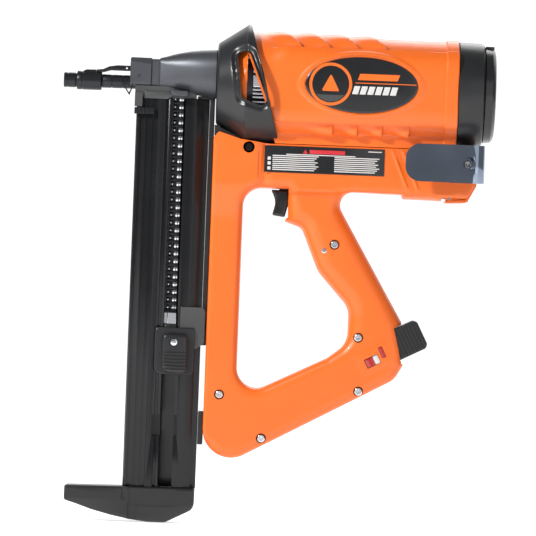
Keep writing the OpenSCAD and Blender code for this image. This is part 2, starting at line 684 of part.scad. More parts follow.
module contact_tip() color("#2b2c2f") difference() {
    union() {
        xcyl(0, tip_len, tip_r);
        xcyl(tip_len, collar_len, collar_r);
        box([tip_len + 6, -3.5, 0], [collar_x1 - 5.5, 3.5, arm_z0 + 0.5]);
    }
    xcyl(-1, collar_x1 + 2, muzzle_r);
}

module contact_sleeve() color("#3a3b3f") difference() {
    xcyl(collar_x1, tube_x1 - collar_x1, tube_r);
    xcyl(collar_x1 - 1, tube_x1 - collar_x1 + 2, muzzle_r);
}

module contact_arm() color("#2f3034") difference() {
    union() {
        slab([[collar_x1 - 5.5, collar_r - 1.2], [collar_x1 + 4, tube_r - 0.5], [collar_x1 + 11, arm_z0],
            [spider_x, arm_z0], [spider_x, arm_z1], [collar_x1 + 6, arm_z1], [collar_x1 - 5.5, arm_z0 + 0.5]],
            -arm_half, arm_half);
    }
    xcyl(collar_x1 - 10, 10, collar_r);
    xcyl(collar_x1 - 1, 60, tube_r);
    ycyl(nose_x - 4, 13, -10, 10, 1);
}

module linkage_cage() color("#7c8087") {
    xcyl_ring(spider_x, spider_t, 11.5, 18);
    intersection() {
        for (a = [45:90:315]) rotate([a, 0, 0]) box([spider_x, -5, 15], [spider_x + spider_t, 5, rod_at + 6]);
        xcyl(spider_x, spider_t, rod_at + rod_r);
    }
}

// Four rods from the cage to the chamber sleeve
module linkage_rods() color("#9aa0a6") for (a = [45:90:315]) rotate([a, 0, 0])
    xcyl_at(spider_x + spider_t, rod_at, sleeve_x - spider_x - spider_t, rod_r);

module valve_sleeve() color("#a9adb3") difference() {
    union() {
        xcyl(sleeve_x, sleeve_len, sleeve_out);
        xcyl(sleeve_x, 3, rod_at + rod_r + 3);
    }
    xcyl(sleeve_x - 1, sleeve_len + 2, sleeve_r);
}

// ---- Driver ----

module piston() color("#c4c7cb") difference() {
    xcyl(piston_x, piston_len, bore_r - fit, $fn = 96);
    for (k = [0, 1]) xcyl_ring(piston_x + 3 + 4 * k, 2, bore_r - 2.5, bore_r + 1);
    xcyl(piston_x + piston_len - 5, 6, bore_r - 8);
    xcyl(piston_x - 1, 5, 4);
}

module piston_rings() color("#4d4f54") for (k = [0, 1])
    xcyl_ring(piston_x + 3 + 4 * k, 2, bore_r - 2.5, bore_r - 0.02, $fn = 96);

module driver_blade() color("#e2e4e7") {
    xcyl(blade_x0, piston_x - blade_x0, blade_r);
    xcyl(piston_x, 4, 4);
}

// ---- Magazine ----

// Cross-section of the extruded rail
module rail_section() difference() {
    polygon([[mag_x, -mag_half + 3], [mag_x + 3, -mag_half], [mag_x1 - 12, -mag_half], [mag_x1 - 6, -mag_half + 4],
        [mag_x1, -mag_half + 4], [mag_x1, mag_half - 4], [mag_x1 - 6, mag_half - 4], [mag_x1 - 12, mag_half],
        [mag_x + 3, mag_half], [mag_x, mag_half - 3]]);
    translate([chamber_x0 - 0.5, -channel_half]) square([channel_x1 - chamber_x0 + 0.5, 2 * channel_half]);
    translate([slot_x0, -mag_half - 1]) square([channel_x1 - slot_x0, mag_half + 1]);
    for (x = [mag_x + 5, mag_x + 11, mag_x + 17, mag_x + 29.5]) for (s = [-1, 1])
        translate([x, s * mag_half]) square([2.2, 1.6], center = true);
    translate([channel_x1 + 2.5, channel_half + 1]) square([9, 1.2]);
}

module magazine_rail() color("#1d1e20") difference() {
    translate([0, 0, mag_bottom]) linear_extrude(mag_top - mag_bottom) rail_section();
    box([slot_x0 - 7, -mag_half - 1, mag_bottom + 50], [channel_x1 + 4, -channel_half + 0.01, mag_bottom + 70]);
    for (x = [mag_x + 8, mag_x1 - 9]) translate([x, 0, mag_bottom - 1]) cylinder(h = 15, r = 1.9);
}

module magazine_head() color("#8b8e93") {
    difference() {
        slab([[nose_x + 5.5, mag_top], [nose_x + 64.5, mag_top], [nose_x + 64.5, -8.9], [nose_x + 40.5, -3.2],
            [nose_x + 5.5, -3.2]], -nose_half, nose_half);
        xcyl(nose_x, 200, tube_r + 0.5);
        box([chamber_x0 - 0.5, -channel_half, -30], [chamber_x1, channel_half, 0]);
    }
    box([nose_x + 5.5, -mag_half - 2.6, mag_top - 9.5], [nose_x + 13, -mag_half, mag_top]);
    box([nose_x + 5.5, -mag_half - 2.6, mag_top], [nose_x + 13, -nose_half, mag_top + 4]);
}

module magazine_latch() color("#26272a") {
    z1 = mag_top - 10;
    box([nose_x + 5.5, -mag_half - 3.6, z1 - 6.6], [nose_x + 24.5, -mag_half - slide_gap, z1 - 0.3]);
    for (k = [0:4]) box([nose_x + 7 + 3.4 * k, -mag_half - 4.6, z1 - 6.6], [nose_x + 8.6 + 3.4 * k, -mag_half - 3.6, z1 - 0.3]);
}

module magazine_bracket() color("#1d1e20") {
    box([mag_x1, -9, mag_top - 36], [strut_x - 0.2, 9, mag_top + 0.7]);
    box([mag_x1, -6, mag_top - 36 - web_drop], [strut_x - 0.2, 6, mag_top - 35]);
    box([mag_x1, -8, heel_z + 30], [strut_x, 8, heel_z + 62]);
}

module magazine_foot() color("#1b1b1d") difference() {
    slab(rounded([[15.4, foot_bottom + 19, 1.5], [28, foot_bottom + 14, 20], [60, foot_bottom + 5.5, 30],
        [96, foot_bottom, 20], [115, foot_bottom, 12], [mag_x1 - 0.6, foot_bottom + 14, 10],
        [mag_x1 - 0.6, mag_bottom, 0], [mag_x - 3, mag_bottom, 0], [15.4, mag_bottom - 0.8, 1.5]]),
        -foot_half, foot_half);
    for (x = [mag_x + 8, mag_x1 - 9]) translate([x, 0, 0]) {
        translate([0, 0, foot_bottom - 1]) cylinder(h = foot_h + 2, r = 1.9);
        translate([0, 0, foot_bottom - 1]) cylinder(h = foot_h - 9, r = 4.2);
    }
}

module foot_screws() color("#b9bcc1") for (x = [mag_x + 8, mag_x1 - 9]) translate([x, 0, 0]) {
    translate([0, 0, mag_bottom - 10]) cylinder(h = 23, r = 1.8);
    difference() {
        translate([0, 0, mag_bottom - 13]) cylinder(h = 3, r = 3.8);
        translate([0, 0, mag_bottom - 13.1]) cylinder(h = 1.8, r = 1.7, $fn = 6);
    }
}

module fastener_pins() color("#d0d3d8") for (k = [1:pin_count]) translate([0, 0, -pin_pitch * k])
    rotate([0, 90, 0]) rotate_extrude($fn = 24) polygon([[0, pin_x0], [pin_r, pin_x0 + 5], [pin_r, pin_x1 - 1.6],
        [pin_head_r, pin_x1 - 1.6], [pin_head_r, pin_x1], [0, pin_x1]]);

module pin_collation() color("#c9b98e") difference() {
    box([pin_x1 - 17, -2.4, strip_end + 0.6], [pin_x1 - 12, 2.4, -4.6]);
    for (k = [1:pin_count]) xcyl_at(pin_x1 - 18, -pin_pitch * k, 8, pin_r + 0.02, $fn = 24);
}

module feed_ribbon() color("#b9bcc1") box([channel_x1 + 3, channel_half + 1.45, strip_end - 12],
    [channel_x1 + 11, channel_half + 1.75, mag_top - 4]);

// ---- Follower ----

module follower_pusher() color("#c9ccd1") {
    box([pin_x1 - 20, -channel_half + slide_gap, follower_top - 11], [pin_x1 + 0.5, channel_half - slide_gap, follower_top]);
    box([pin_x1 - 8, -mag_half - 1, follower_top - 11], [pin_x1 + 0.5, -channel_half + slide_gap, follower_top]);
}

module follower_base() color("#1e1f21") {
    z1 = follower_top - 14;
    box([chamber_x0, -channel_half + slide_gap, z1 - 42], [channel_x1 - slide_gap, channel_half - slide_gap, follower_top - 11]);
    box([slot_x0 + slide_gap, -mag_half - 2.8, z1 - 42], [channel_x1 - slide_gap, -channel_half + slide_gap, follower_top - 11]);
    slab(rounded([[slot_x0 - 8, z1 - 45, 8], [mag_x1 - 6, z1 - 45, 4], [mag_x1 - 6, z1, 2], [slot_x0 - 8, z1, 4]]),
        -mag_half - 6, -mag_half - 2.8);
}

module follower_knob() color("#1c1c1e") {
    z1 = follower_top - 20;
    difference() {
        slab(rounded([[slot_x0 - 0.5, z1 - 38, 9], [slot_x0 + 23.5, z1 - 38, 5], [slot_x0 + 23.5, z1, 4], [slot_x0 - 0.5, z1, 4]]),
            -mag_half - 17, -mag_half - 6);
        ycyl(slot_x0 + 10.6, z1 - 8, -mag_half - 18, -mag_half - 15, 4);
    }
    ycyl(slot_x0 + 10.6, z1 - 8, -mag_half - 16.5, -mag_half - 15, 3.8);
}

module follower_plate() color("#9a9da2") slab(rounded([[channel_x1 + 3, follower_top - 34, 1],
    [mag_x1 - 5, follower_top - 34, 0], [mag_x1 + 3.5, follower_top - 28, 2], [mag_x1 + 3.5, follower_top + 2, 2],
    [mag_x1 + 1, follower_top + 6, 1], [channel_x1 + 3, follower_top + 6, 1]]),
    -mag_half - 2.6, -mag_half - slide_gap);

// ---- Belt hook ----

module belt_hook() color("#d3d6da") {
    y0 = -bay_half;
    tip_x = hook_bend_x - 64.5;
    difference() {
        union() {
            box([hook_bend_x - 22, y0 - hook_t, hook_z - hook_w / 2], [hook_bend_x, y0, hook_z + hook_w / 2]);
            difference() {
                translate([hook_bend_x, y0 - hook_bend_r, hook_z - hook_w / 2]) cylinder(h = hook_w, r = hook_bend_r);
                translate([hook_bend_x, y0 - hook_bend_r, hook_z - hook_w]) cylinder(h = 2 * hook_w, r = hook_bend_r - hook_t);
                box([hook_bend_x - 30, y0 - 60, hook_z - hook_w], [hook_bend_x, y0 + 5, hook_z + hook_w]);
            }
            slab(rounded([[tip_x, hook_z - hook_w / 2, 14], [hook_bend_x, hook_z - hook_w / 2, 0],
                [hook_bend_x, hook_z + hook_w / 2, 0], [tip_x, hook_z + hook_w / 2, 14]]), y0 - 2 * hook_bend_r, y0 - 2 * hook_bend_r + hook_t);
        }
        ycyl(hook_screw_x, hook_z, y0 - 60, y0 - 10, 6.6);
        ycyl(hook_screw_x, hook_z, y0 - 10, y0 + 10, screw_r + 0.15);
    }
}

module hook_screw() color("#c9ccd1") {
    x = hook_screw_x;
    z = hook_z;
    y = -bay_half - hook_t;
    difference() {
        ycyl(x, z, y - 2.5, y, 4.2);
        ycyl(x, z, y - 2.6, y - 0.8, 2, $fn = 6);
    }
    ycyl(x, z, y, y + hook_t + handle_wall - 0.3, screw_r);
}

handle_left();
handle_right();
cover_left();
cover_right();
front_shroud();
rear_cap();
filter_grille();
air_filter();
nose_casting();
nose_bolts();
nose_wire_clip();
drive_cylinder();
bumper();
cylinder_head();
fan_motor();
spark_plug();
head_seals();
reed_valves();
return_spring();
fuel_cell();
metering_valve();
fuel_line();
hinge_pin();
belt_hook();
hook_screw();
housing_screws();
label_plates();
badge_plates();
indicator_lenses();
control_board();
spark_unit();
battery_contacts();
trigger_switch();
trigger_spring();
magazine_rail();
magazine_head();
magazine_bracket();
magazine_foot();
foot_screws();
fastener_pins();
pin_collation();
feed_ribbon();
contact_tip();
contact_sleeve();
contact_arm();
linkage_cage();
linkage_rods();
valve_sleeve();
piston();
piston_rings();
driver_blade();
fan();
trigger();
follower_base();
follower_knob();
follower_pusher();
follower_plate();
battery_pack();
battery_cap();
fuel_door();
magazine_latch();
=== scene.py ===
# %% [markdown]
# # A gas-combustion fastening tool
# This lesson dresses a finished CAD frame: every part is already in its place, and each visible part gets a
# detailed mesh and a procedural finish here. The CAD solids stay behind the scenes as the moving frame.

# %% Load the frame
import json
import math
import bmesh
import bpy
import numpy as np
from mathutils import Matrix, Vector
from mathutils.geometry import delaunay_2d_cdt, tessellate_polygon

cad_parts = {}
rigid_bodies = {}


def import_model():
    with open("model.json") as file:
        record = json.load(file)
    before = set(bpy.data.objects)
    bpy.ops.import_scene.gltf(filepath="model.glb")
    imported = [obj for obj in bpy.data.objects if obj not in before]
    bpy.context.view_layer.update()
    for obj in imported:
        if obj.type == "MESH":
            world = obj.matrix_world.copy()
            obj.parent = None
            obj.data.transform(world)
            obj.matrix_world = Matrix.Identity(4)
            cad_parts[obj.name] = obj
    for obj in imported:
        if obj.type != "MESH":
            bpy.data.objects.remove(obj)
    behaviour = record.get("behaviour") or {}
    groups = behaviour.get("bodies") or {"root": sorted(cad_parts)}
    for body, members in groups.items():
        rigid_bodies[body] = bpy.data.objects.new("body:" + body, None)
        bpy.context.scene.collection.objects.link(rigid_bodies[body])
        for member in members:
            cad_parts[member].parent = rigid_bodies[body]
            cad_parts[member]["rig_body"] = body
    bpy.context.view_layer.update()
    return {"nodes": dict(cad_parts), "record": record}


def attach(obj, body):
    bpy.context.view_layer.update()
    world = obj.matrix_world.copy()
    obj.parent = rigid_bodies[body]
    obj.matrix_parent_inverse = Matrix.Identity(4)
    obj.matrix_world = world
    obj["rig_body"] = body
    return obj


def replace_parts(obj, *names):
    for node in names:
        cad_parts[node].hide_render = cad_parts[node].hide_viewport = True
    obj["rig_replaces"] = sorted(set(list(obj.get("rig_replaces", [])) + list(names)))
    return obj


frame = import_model()
nodes = frame["nodes"]

# %% [markdown]
# ## Outlines
# Most parts of the tool are thick plates seen from the side, so a side outline with its own radius at every
# corner is the basic drawing. A 2-D outline is easy to edit and gives clean arcs; drawing meshes by hand would
# leave uneven corners. Points are [x, z, radius] in millimetres, counter-clockwise.

# %% Rounded outlines
MM = 0.001


def corner(a, b, c, step=7):
    p, r = np.array(b[:2], float), b[2] if len(b) > 2 else 0
    if r <= 0:
        return [tuple(p)]
    u = (np.array(a[:2]) - p) / np.linalg.norm(np.array(a[:2]) - p)
    v = (np.array(c[:2]) - p) / np.linalg.norm(np.array(c[:2]) - p)
    half = math.acos(np.clip(u @ v, -1, 1)) / 2
    mid = p + (u + v) / np.linalg.norm(u + v) * r / math.sin(half)
    start = p + u * r / math.tan(half) - mid
    sweep = (1 if -u[0] * v[1] + u[1] * v[0] > 0 else -1) * (180 - 2 * math.degrees(half))
    n, a0 = max(2, math.ceil(abs(sweep) / step)), math.degrees(math.atan2(start[1], start[0]))
    angles = [math.radians(a0 + sweep * k / n) for k in range(n + 1)]
    return [(mid[0] + r * math.cos(t), mid[1] + r * math.sin(t)) for t in angles]


def rounded(pts):
    n = len(pts)
    return [q for i in range(n) for q in corner(pts[i - 1], pts[i], pts[(i + 1) % n])]


def inset(pts, d):
    out = []
    for i, b in enumerate(pts):
        a, c, r = pts[i - 1], pts[(i + 1) % len(pts)], b[2] if len(b) > 2 else 0
        e = np.array([b[0] - a[0], b[1] - a[1]]) / math.hypot(b[0] - a[0], b[1] - a[1])
        f = np.array([c[0] - b[0], c[1] - b[1]]) / math.hypot(c[0] - b[0], c[1] - b[1])
        m = (np.array([-e[1], e[0]]) + np.array([-f[1], f[0]])) / (1 + e @ f)
        turn = 1 if e[0] * f[1] - e[1] * f[0] > 0 else -1
        out.append((b[0] + d * m[0], b[1] + d * m[1], max(r - d * turn, 0.2) if r > 0 else 0))
    return out


def ellipse(cx, cz, a, b, n=72):
    return [(cx + a * math.cos(2 * math.pi * k / n), cz + b * math.sin(2 * math.pi * k / n)) for k in range(n)]


def smooth(x, lo, hi):
    t = np.clip((np.asarray(x, float) - lo) / (hi - lo), 0, 1)
    return t * t * (3 - 2 * t)


print("a 10 mm square with 2 mm corners has",
      len(rounded([(0, 0, 2), (10, 0, 2), (10, 10, 2), (0, 10, 2)])), "points")

# %% [markdown]
# ## Finishes
# The real tool is moulded plastic, cast and machined metal. Each finish is a Principled shader whose roughness
# wanders a little with a noise and whose surface carries a fine bump, because a perfectly even surface reads as
# computer plastic. Image textures would need unwrapping; procedural noise in object space needs none.


# %% Materials
def finish(name, colour, rough, metal=0.0, grain=900.0, bump=0.12, spread=0.10, stretch=(1, 1, 1),
           coat=0.0, dirt=0.06):
    mat = bpy.data.materials.new(name)
    mat.use_nodes = True
    tree, shader = mat.node_tree, mat.node_tree.nodes["Principled BSDF"]
    shader.inputs["Base Color"].default_value = (*colour, 1)
    shader.inputs["Metallic"].default_value = metal
    shader.inputs["Coat Weight"].default_value = coat
    new, link = tree.nodes.new, tree.links.new
    place, fit = new("ShaderNodeTexCoord"), new("ShaderNodeMapping")
    fit.inputs["Scale"].default_value = stretch
    link(place.outputs["Object"], fit.inputs["Vector"])
    fine, broad = new("ShaderNodeTexNoise"), new("ShaderNodeTexNoise")
    fine.inputs["Scale"].default_value, fine.inputs["Detail"].default_value = grain, 3
    broad.inputs["Scale"].default_value, broad.inputs["Detail"].default_value = 34, 5
    link(fit.outputs["Vector"], fine.inputs["Vector"])
    link(place.outputs["Object"], broad.inputs["Vector"])
    span = new("ShaderNodeMapRange")
    span.inputs["To Min"].default_value, span.inputs["To Max"].default_value = rough - spread, rough + spread
    link(broad.outputs["Fac"], span.inputs["Value"])
    link(span.outputs["Result"], shader.inputs["Roughness"])
    tint = new("ShaderNodeMix")
    tint.data_type = "RGBA"
    tint.inputs["A"].default_value = (*[c * (1 - dirt) for c in colour], 1)
    tint.inputs["B"].default_value = (*[min(1, c * (1 + dirt)) for c in colour], 1)
    link(broad.outputs["Fac"], tint.inputs["Factor"])
    link(tint.outputs["Result"], shader.inputs["Base Color"])
    relief = new("ShaderNodeBump")
    relief.inputs["Strength"].default_value, relief.inputs["Distance"].default_value = bump, 0.0002
    link(fine.outputs["Fac"], relief.inputs["Height"])
    link(relief.outputs["Normal"], shader.inputs["Normal"])
    return mat


M = {
    "orange_shell": finish("orange_shell", (0.83, 0.145, 0.012), 0.36, grain=1300, bump=0.10, coat=0.12),
    "black_plastic": finish("black_plastic", (0.013, 0.0135, 0.015), 0.33, grain=1500, bump=0.16),
    "black_trim": finish("black_trim", (0.010, 0.0105, 0.012), 0.22, grain=1800, bump=0.08, coat=0.15),
    "grey_casting": finish("grey_casting", (0.075, 0.079, 0.090), 0.42, metal=0.55, grain=650, bump=0.35),
    "bare_aluminium": finish("bare_aluminium", (0.62, 0.62, 0.66), 0.30, metal=1, grain=420, bump=0.25,
                             stretch=(0.1, 1, 1)),
    "dark_steel": finish("dark_steel", (0.030, 0.031, 0.035), 0.30, metal=0.75, grain=700, bump=0.18),
    "bright_steel": finish("bright_steel", (0.70, 0.72, 0.76), 0.17, metal=1, grain=900, bump=0.05, spread=0.06),
    "hook_steel": finish("hook_steel", (0.30, 0.36, 0.46), 0.10, metal=1, grain=700, bump=0.04, spread=0.08,
                         stretch=(0.15, 1, 1)),
    "spring_steel": finish("spring_steel", (0.42, 0.43, 0.45), 0.28, metal=1, grain=900, bump=0.08),
    "anodised_rail": finish("anodised_rail", (0.011, 0.0115, 0.013), 0.24, metal=0.35, grain=800, bump=0.15,
                            stretch=(1, 1, 0.04)),
    "zinc_grey": finish("zinc_grey", (0.095, 0.096, 0.097), 0.40, metal=0.7, grain=700, bump=0.18),
    "rubber": finish("rubber", (0.012, 0.012, 0.012), 0.68, grain=600, bump=0.3),
    "foam": finish("foam", (0.09, 0.09, 0.075), 0.92, grain=420, bump=0.9),
    "copper": finish("copper", (0.72, 0.30, 0.14), 0.26, metal=1),
    "contact_brass": finish("contact_brass", (0.72, 0.50, 0.18), 0.25, metal=1),
    "ceramic_white": finish("ceramic_white", (0.78, 0.77, 0.73), 0.30, coat=0.3),
    "board_green": finish("board_green", (0.02, 0.13, 0.05), 0.34, grain=500, coat=0.3),
    "coil_blue": finish("coil_blue", (0.03, 0.03, 0.14), 0.35),
    "indicator_red": finish("indicator_red", (0.42, 0.012, 0.015), 0.14, grain=300, bump=0.05, coat=0.8),
    "collation": finish("collation", (0.014, 0.0145, 0.016), 0.42, grain=900),
    "can_metal": finish("can_metal", (0.55, 0.56, 0.58), 0.24, metal=1, stretch=(0.2, 1, 1)),
    "print_white": finish("print_white", (0.62, 0.61, 0.60), 0.42),
    "print_red": finish("print_red", (0.55, 0.02, 0.03), 0.42),
}
print(len(M), "finishes")

# %% [markdown]
# ## From numbers to meshes
# Plates, turned parts and height fields all end as a vertex list and a face list. One helper turns those into
# an object, points its normals outwards, keeps edges over 32 degrees sharp, and attaches it to its moving
# body.


# %% Mesh helpers
def tidy(mesh, angle=32):
    bm = bmesh.new()
    bm.from_mesh(mesh)
    bmesh.ops.remove_doubles(bm, verts=bm.verts, dist=1e-6)
    bmesh.ops.dissolve_degenerate(bm, edges=bm.edges, dist=1e-7)
    loose = [v for v in bm.verts if not v.link_faces]
    bmesh.ops.delete(bm, geom=loose, context="VERTS")
    bmesh.ops.recalc_face_normals(bm, faces=bm.faces)
    bm.to_mesh(mesh)
    bm.free()
    mesh.shade_smooth()
    mesh.set_sharp_from_angle(angle=math.radians(angle))


def link_piece(obj, mat, body="root", replaces=()):
    if obj.name not in bpy.context.scene.collection.objects:
        bpy.context.scene.collection.objects.link(obj)
    obj.data.materials.clear()
    obj.data.materials.append(M[mat])
    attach(obj, body)
    if replaces:
        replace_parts(obj, *replaces)
    return obj


def raw(name, verts, faces):
    mesh = bpy.data.meshes.new(name)
    mesh.from_pydata([tuple(float(c) * MM for c in v) for v in verts], [], faces)
    return bpy.data.objects.new(name, mesh)


def piece(name, shape, mat, body="root", replaces=(), angle=32):
    obj = raw(name, *shape)
    tidy(obj.data, angle)
    return link_piece(obj, mat, body, replaces)


def join(*shapes):
    verts, faces = [], []
    for v, f in shapes:
        faces += [tuple(i + len(verts) for i in face) for face in f]
        verts += list(v)
    return verts, faces


def moved(shape, f):
    return [f(*v) for v in shape[0]], shape[1]


def plate(pts, y0, y1, r=1.0, steps=3, holes=()):
    """Thick plate from a side outline, its edges rounded by r; holes are outlines that go straight through."""
    levels = [(r * (1 - math.sin(t)), r * (1 - math.cos(t))) for t in np.linspace(0, math.pi / 2, steps + 1)]
    rings = [(d, y0 + h) for d, h in levels] + [(d, y1 - h) for d, h in reversed(levels)]
    verts, faces, n = [], [], len(rounded(pts))
    for d, y in rings:
        verts += [(x, y, z) for x, z in rounded(inset(pts, d) if d > 1e-9 else pts)]
    for k in range(len(rings) - 1):
        for i in range(n):
            j = (i + 1) % n
            faces.append((k * n + i, k * n + j, (k + 1) * n + j, (k + 1) * n + i))
    loops, caps = [rounded(h) for h in holes], [(0, y0), ((len(rings) - 1) * n, y1)]
    starts = []
    for base, y in caps:
        ids, edge = list(range(base, base + n)), [Vector((x, z, 0)) for x, _, z in verts[base:base + n]]
        polys = [edge]
        for loop in loops:
            starts.append(len(verts))
            ids += range(len(verts), len(verts) + len(loop))
            verts += [(x, y, z) for x, z in loop]
            polys.append([Vector((x, z, 0)) for x, z in loop])
        faces += [tuple(ids[i] for i in t) for t in tessellate_polygon(polys)]
    for k, loop in enumerate(loops):
        a, b, m = starts[k], starts[k + len(loops)], len(loop)
        faces += [(a + i, a + (i + 1) % m, b + (i + 1) % m, b + i) for i in range(m)]
    return verts, faces


def lathe(profile, n=64, at=(0, 0)):
    """Solid turned about a line along X; profile is [x, radius], closed where it starts and ends."""
    verts, faces = [], []
    m = len(profile)
    for k in range(n):
        t = 2 * math.pi * k / n
        verts += [(x, at[0] + r * math.cos(t), at[1] + r * math.sin(t)) for x, r in profile]
    for k in range(n):
        for i in range(m - 1):
            faces.append((k * m + i, k * m + i + 1, (k + 1) % n * m + i + 1, (k + 1) % n * m + i))
    faces.append([k * m for k in range(n)])
    faces.append([k * m + m - 1 for k in range(n)])
    return verts, faces


def along_y(shape, x, z):
    """Turns a lathed shape so that its axis runs along Y through (x, z)."""
    return moved(shape, lambda a, b, c: (x + b, a, z + c))


def rect(x0, x1, z0, z1, *radii):
    """Outline of a rectangle, with one radius for all corners or one for each."""
    r = radii * 4 if len(radii) == 1 else radii or (0,) * 4
    return [(x0, z0, r[0]), (x1, z0, r[1]), (x1, z1, r[2]), (x0, z1, r[3])]


def slab(pts, y0, y1, holes=()):
    """Plate with square edges, for cutters and flat prints."""
    return plate(pts, y0, y1, 0.01, 1, holes)


def rod(x0, x1, r, n=64):
    """Plain cylinder along the barrel line."""
    return lathe([(x0, 0), (x0, r), (x1, r), (x1, 0)], n)


def upright(x, z0, z1, r, n):
    """Plain cylinder along Z at x."""
    return moved(rod(z0, z1, r, n), lambda a, b, c: (x + c, b, a))


def circled(shape, radius, degrees):
    """Copies of a shape round the barrel line."""
    return [moved(shape, lambda x, y, z, t=t: (x, y + radius * math.sin(t), z + radius * math.cos(t)))
            for t in np.radians(degrees)]


def block(lo, hi, r=0.6):
    """Box with rounded edges."""
    (x0, y0, z0), (x1, y1, z1) = lo, hi
    return plate(rect(x0, x1, z0, z1, r), y0, y1, r * 0.7, 2)


def prism(section, z0, z1):
    """Straight extrusion of an [x, y] section along Z."""
    n = len(section)
    verts = [(x, y, z0) for x, y in section] + [(x, y, z1) for x, y in section]
    tris = tessellate_polygon([[Vector((x, y, 0)) for x, y in section]])
    faces = [(i, (i + 1) % n, n + (i + 1) % n, n + i) for i in range(n)]
    return verts, faces + [tuple(t) for t in tris] + [tuple(i + n for i in t) for t in tris]


def baked(obj, *modifiers):
    """Adds modifiers given as (type, settings), keeps their result as plain mesh and removes them."""
    for kind, settings in modifiers:
        mod = obj.modifiers.new(kind, kind)
        for key, value in settings.items():
            setattr(mod, key, value)
    if obj.name not in bpy.context.scene.collection.objects:
        bpy.context.scene.collection.objects.link(obj)
    made = bpy.data.meshes.new_from_object(obj.evaluated_get(bpy.context.evaluated_depsgraph_get()))
    obj.modifiers.clear()
    obj.data = made
    tidy(made)
    return obj


def cut(obj, *shapes, how="DIFFERENCE"):
    tools = []
    for k, shape in enumerate(shapes):
        tool = raw(f"cutter{k}", *shape)
        tidy(tool.data)
        bpy.context.scene.collection.objects.link(tool)
        tools.append(tool)
    baked(obj, *[("BOOLEAN", {"object": t, "operation": how, "solver": "MANIFOLD"}) for t in tools])
    for tool in tools:
        bpy.data.objects.remove(tool)
    return obj


def mirrored(obj, name):
    """Copy of an object on the other side of the tool."""
    mesh = obj.data.copy()
    mesh.transform(Matrix.Scale(-1, 4, (0, 1, 0)))
    mesh.flip_normals()
    return bpy.data.objects.new(name, mesh)


LARGE_FACE = 60 * MM * MM


def edged(node, mat, width):
    """The CAD part with its edges rounded, for parts whose shape is already right."""
    mesh = nodes[node].data.copy()
    bm = bmesh.new()
    bm.from_mesh(mesh)
    bmesh.ops.remove_doubles(bm, verts=bm.verts, dist=2e-6)
    bmesh.ops.dissolve_limit(bm, angle_limit=math.radians(1), verts=bm.verts, edges=bm.edges)
    bm.to_mesh(mesh)
    bm.free()
    obj = bpy.data.objects.new("look_" + node, mesh)
    baked(obj, ("BEVEL", {"width": width * MM, "segments": 2, "limit_method": "ANGLE",
                          "angle_limit": math.radians(28), "use_clamp_overlap": True}))
    for p in obj.data.polygons:
        p.use_smooth = p.use_smooth and p.area < LARGE_FACE
    return link_piece(obj, mat, nodes[node]["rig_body"], [node])


print("helpers ready")

# %% [markdown]
# ## Handle halves
# The D-shaped handle is two moulded shells that meet on the middle plane. Their faces are flat plates whose
# edges roll over: tightly along the compartment, broadly round the grip. That is a height field over the side
# outline: the depth of every point follows from its distance to the nearest edge. A bevel modifier can't
# change its width smoothly along one edge, so the surface is computed, triangulated, and thickened with
# Solidify.

# %% Side outlines of the handle
HANDLE = [(146, -375, 27), (327, -276, 18), (335, -262, 3), (332.3, -220.3, 3), (259.8, -97.4, 12.5),
          (328, -98.5, 0), (329, -102.5, 1), (369, -103, 1), (388.5, -102.5, 4), (397, -88, 4), (397, -54.7, 1),
          (200, -54.7, 0), (172, -51, 3), (151, -44.5, 2), (146, -50.5, 2)]
OPENING = [(176.3, -300.5, 19), (262.3, -257.8, 3), (281.3, -243, 22), (281.3, -209, 22), (250.3, -175, 34),
           (233.3, -134, 10), (216.3, -128, 1), (219.3, -124, 1), (219.3, -97, 0), (176.3, -97, 18)]


def resample(loop, gap):
    out = []
    for p, q in zip(loop, loop[1:] + loop[:1]):
        n = max(1, math.ceil(math.dist(p, q) / gap))
        out += [(p[0] + (q[0] - p[0]) * k / n, p[1] + (q[1] - p[1]) * k / n) for k in range(n)]
    return np.array(out)


def nearest(loops, pts):
    """Distance to the closest edge of any loop, and the closest point on it."""
    a = np.concatenate(loops)
    b = np.concatenate([np.roll(loop, -1, axis=0) for loop in loops])
    ab, best, where = b - a, np.full(len(pts), 1e9), np.zeros((len(pts), 2))
    for s in range(0, len(pts), 1500):
        p = pts[s:s + 1500, None, :]
        t = np.clip(((p - a) * ab).sum(-1) / np.maximum((ab * ab).sum(-1), 1e-12), 0, 1)
        q = a + t[..., None] * ab
        d = np.hypot(*np.moveaxis(p - q, -1, 0))
        k = d.argmin(1)
        best[s:s + 1500] = d[np.arange(len(k)), k]
        where[s:s + 1500] = q[np.arange(len(k)), k]
    return best, where


def inside(loops, pts):
    hit = np.zeros(len(pts), bool)
    x, y = pts[:, 0], pts[:, 1]
    for loop in loops:
        for (x0, y0), (x1, y1) in zip(loop, np.roll(loop, -1, axis=0)):
            if y0 != y1:
                hit ^= ((y0 > y) != (y1 > y)) & (x < (x1 - x0) * (y - y0) / (y1 - y0) + x0)
    return hit


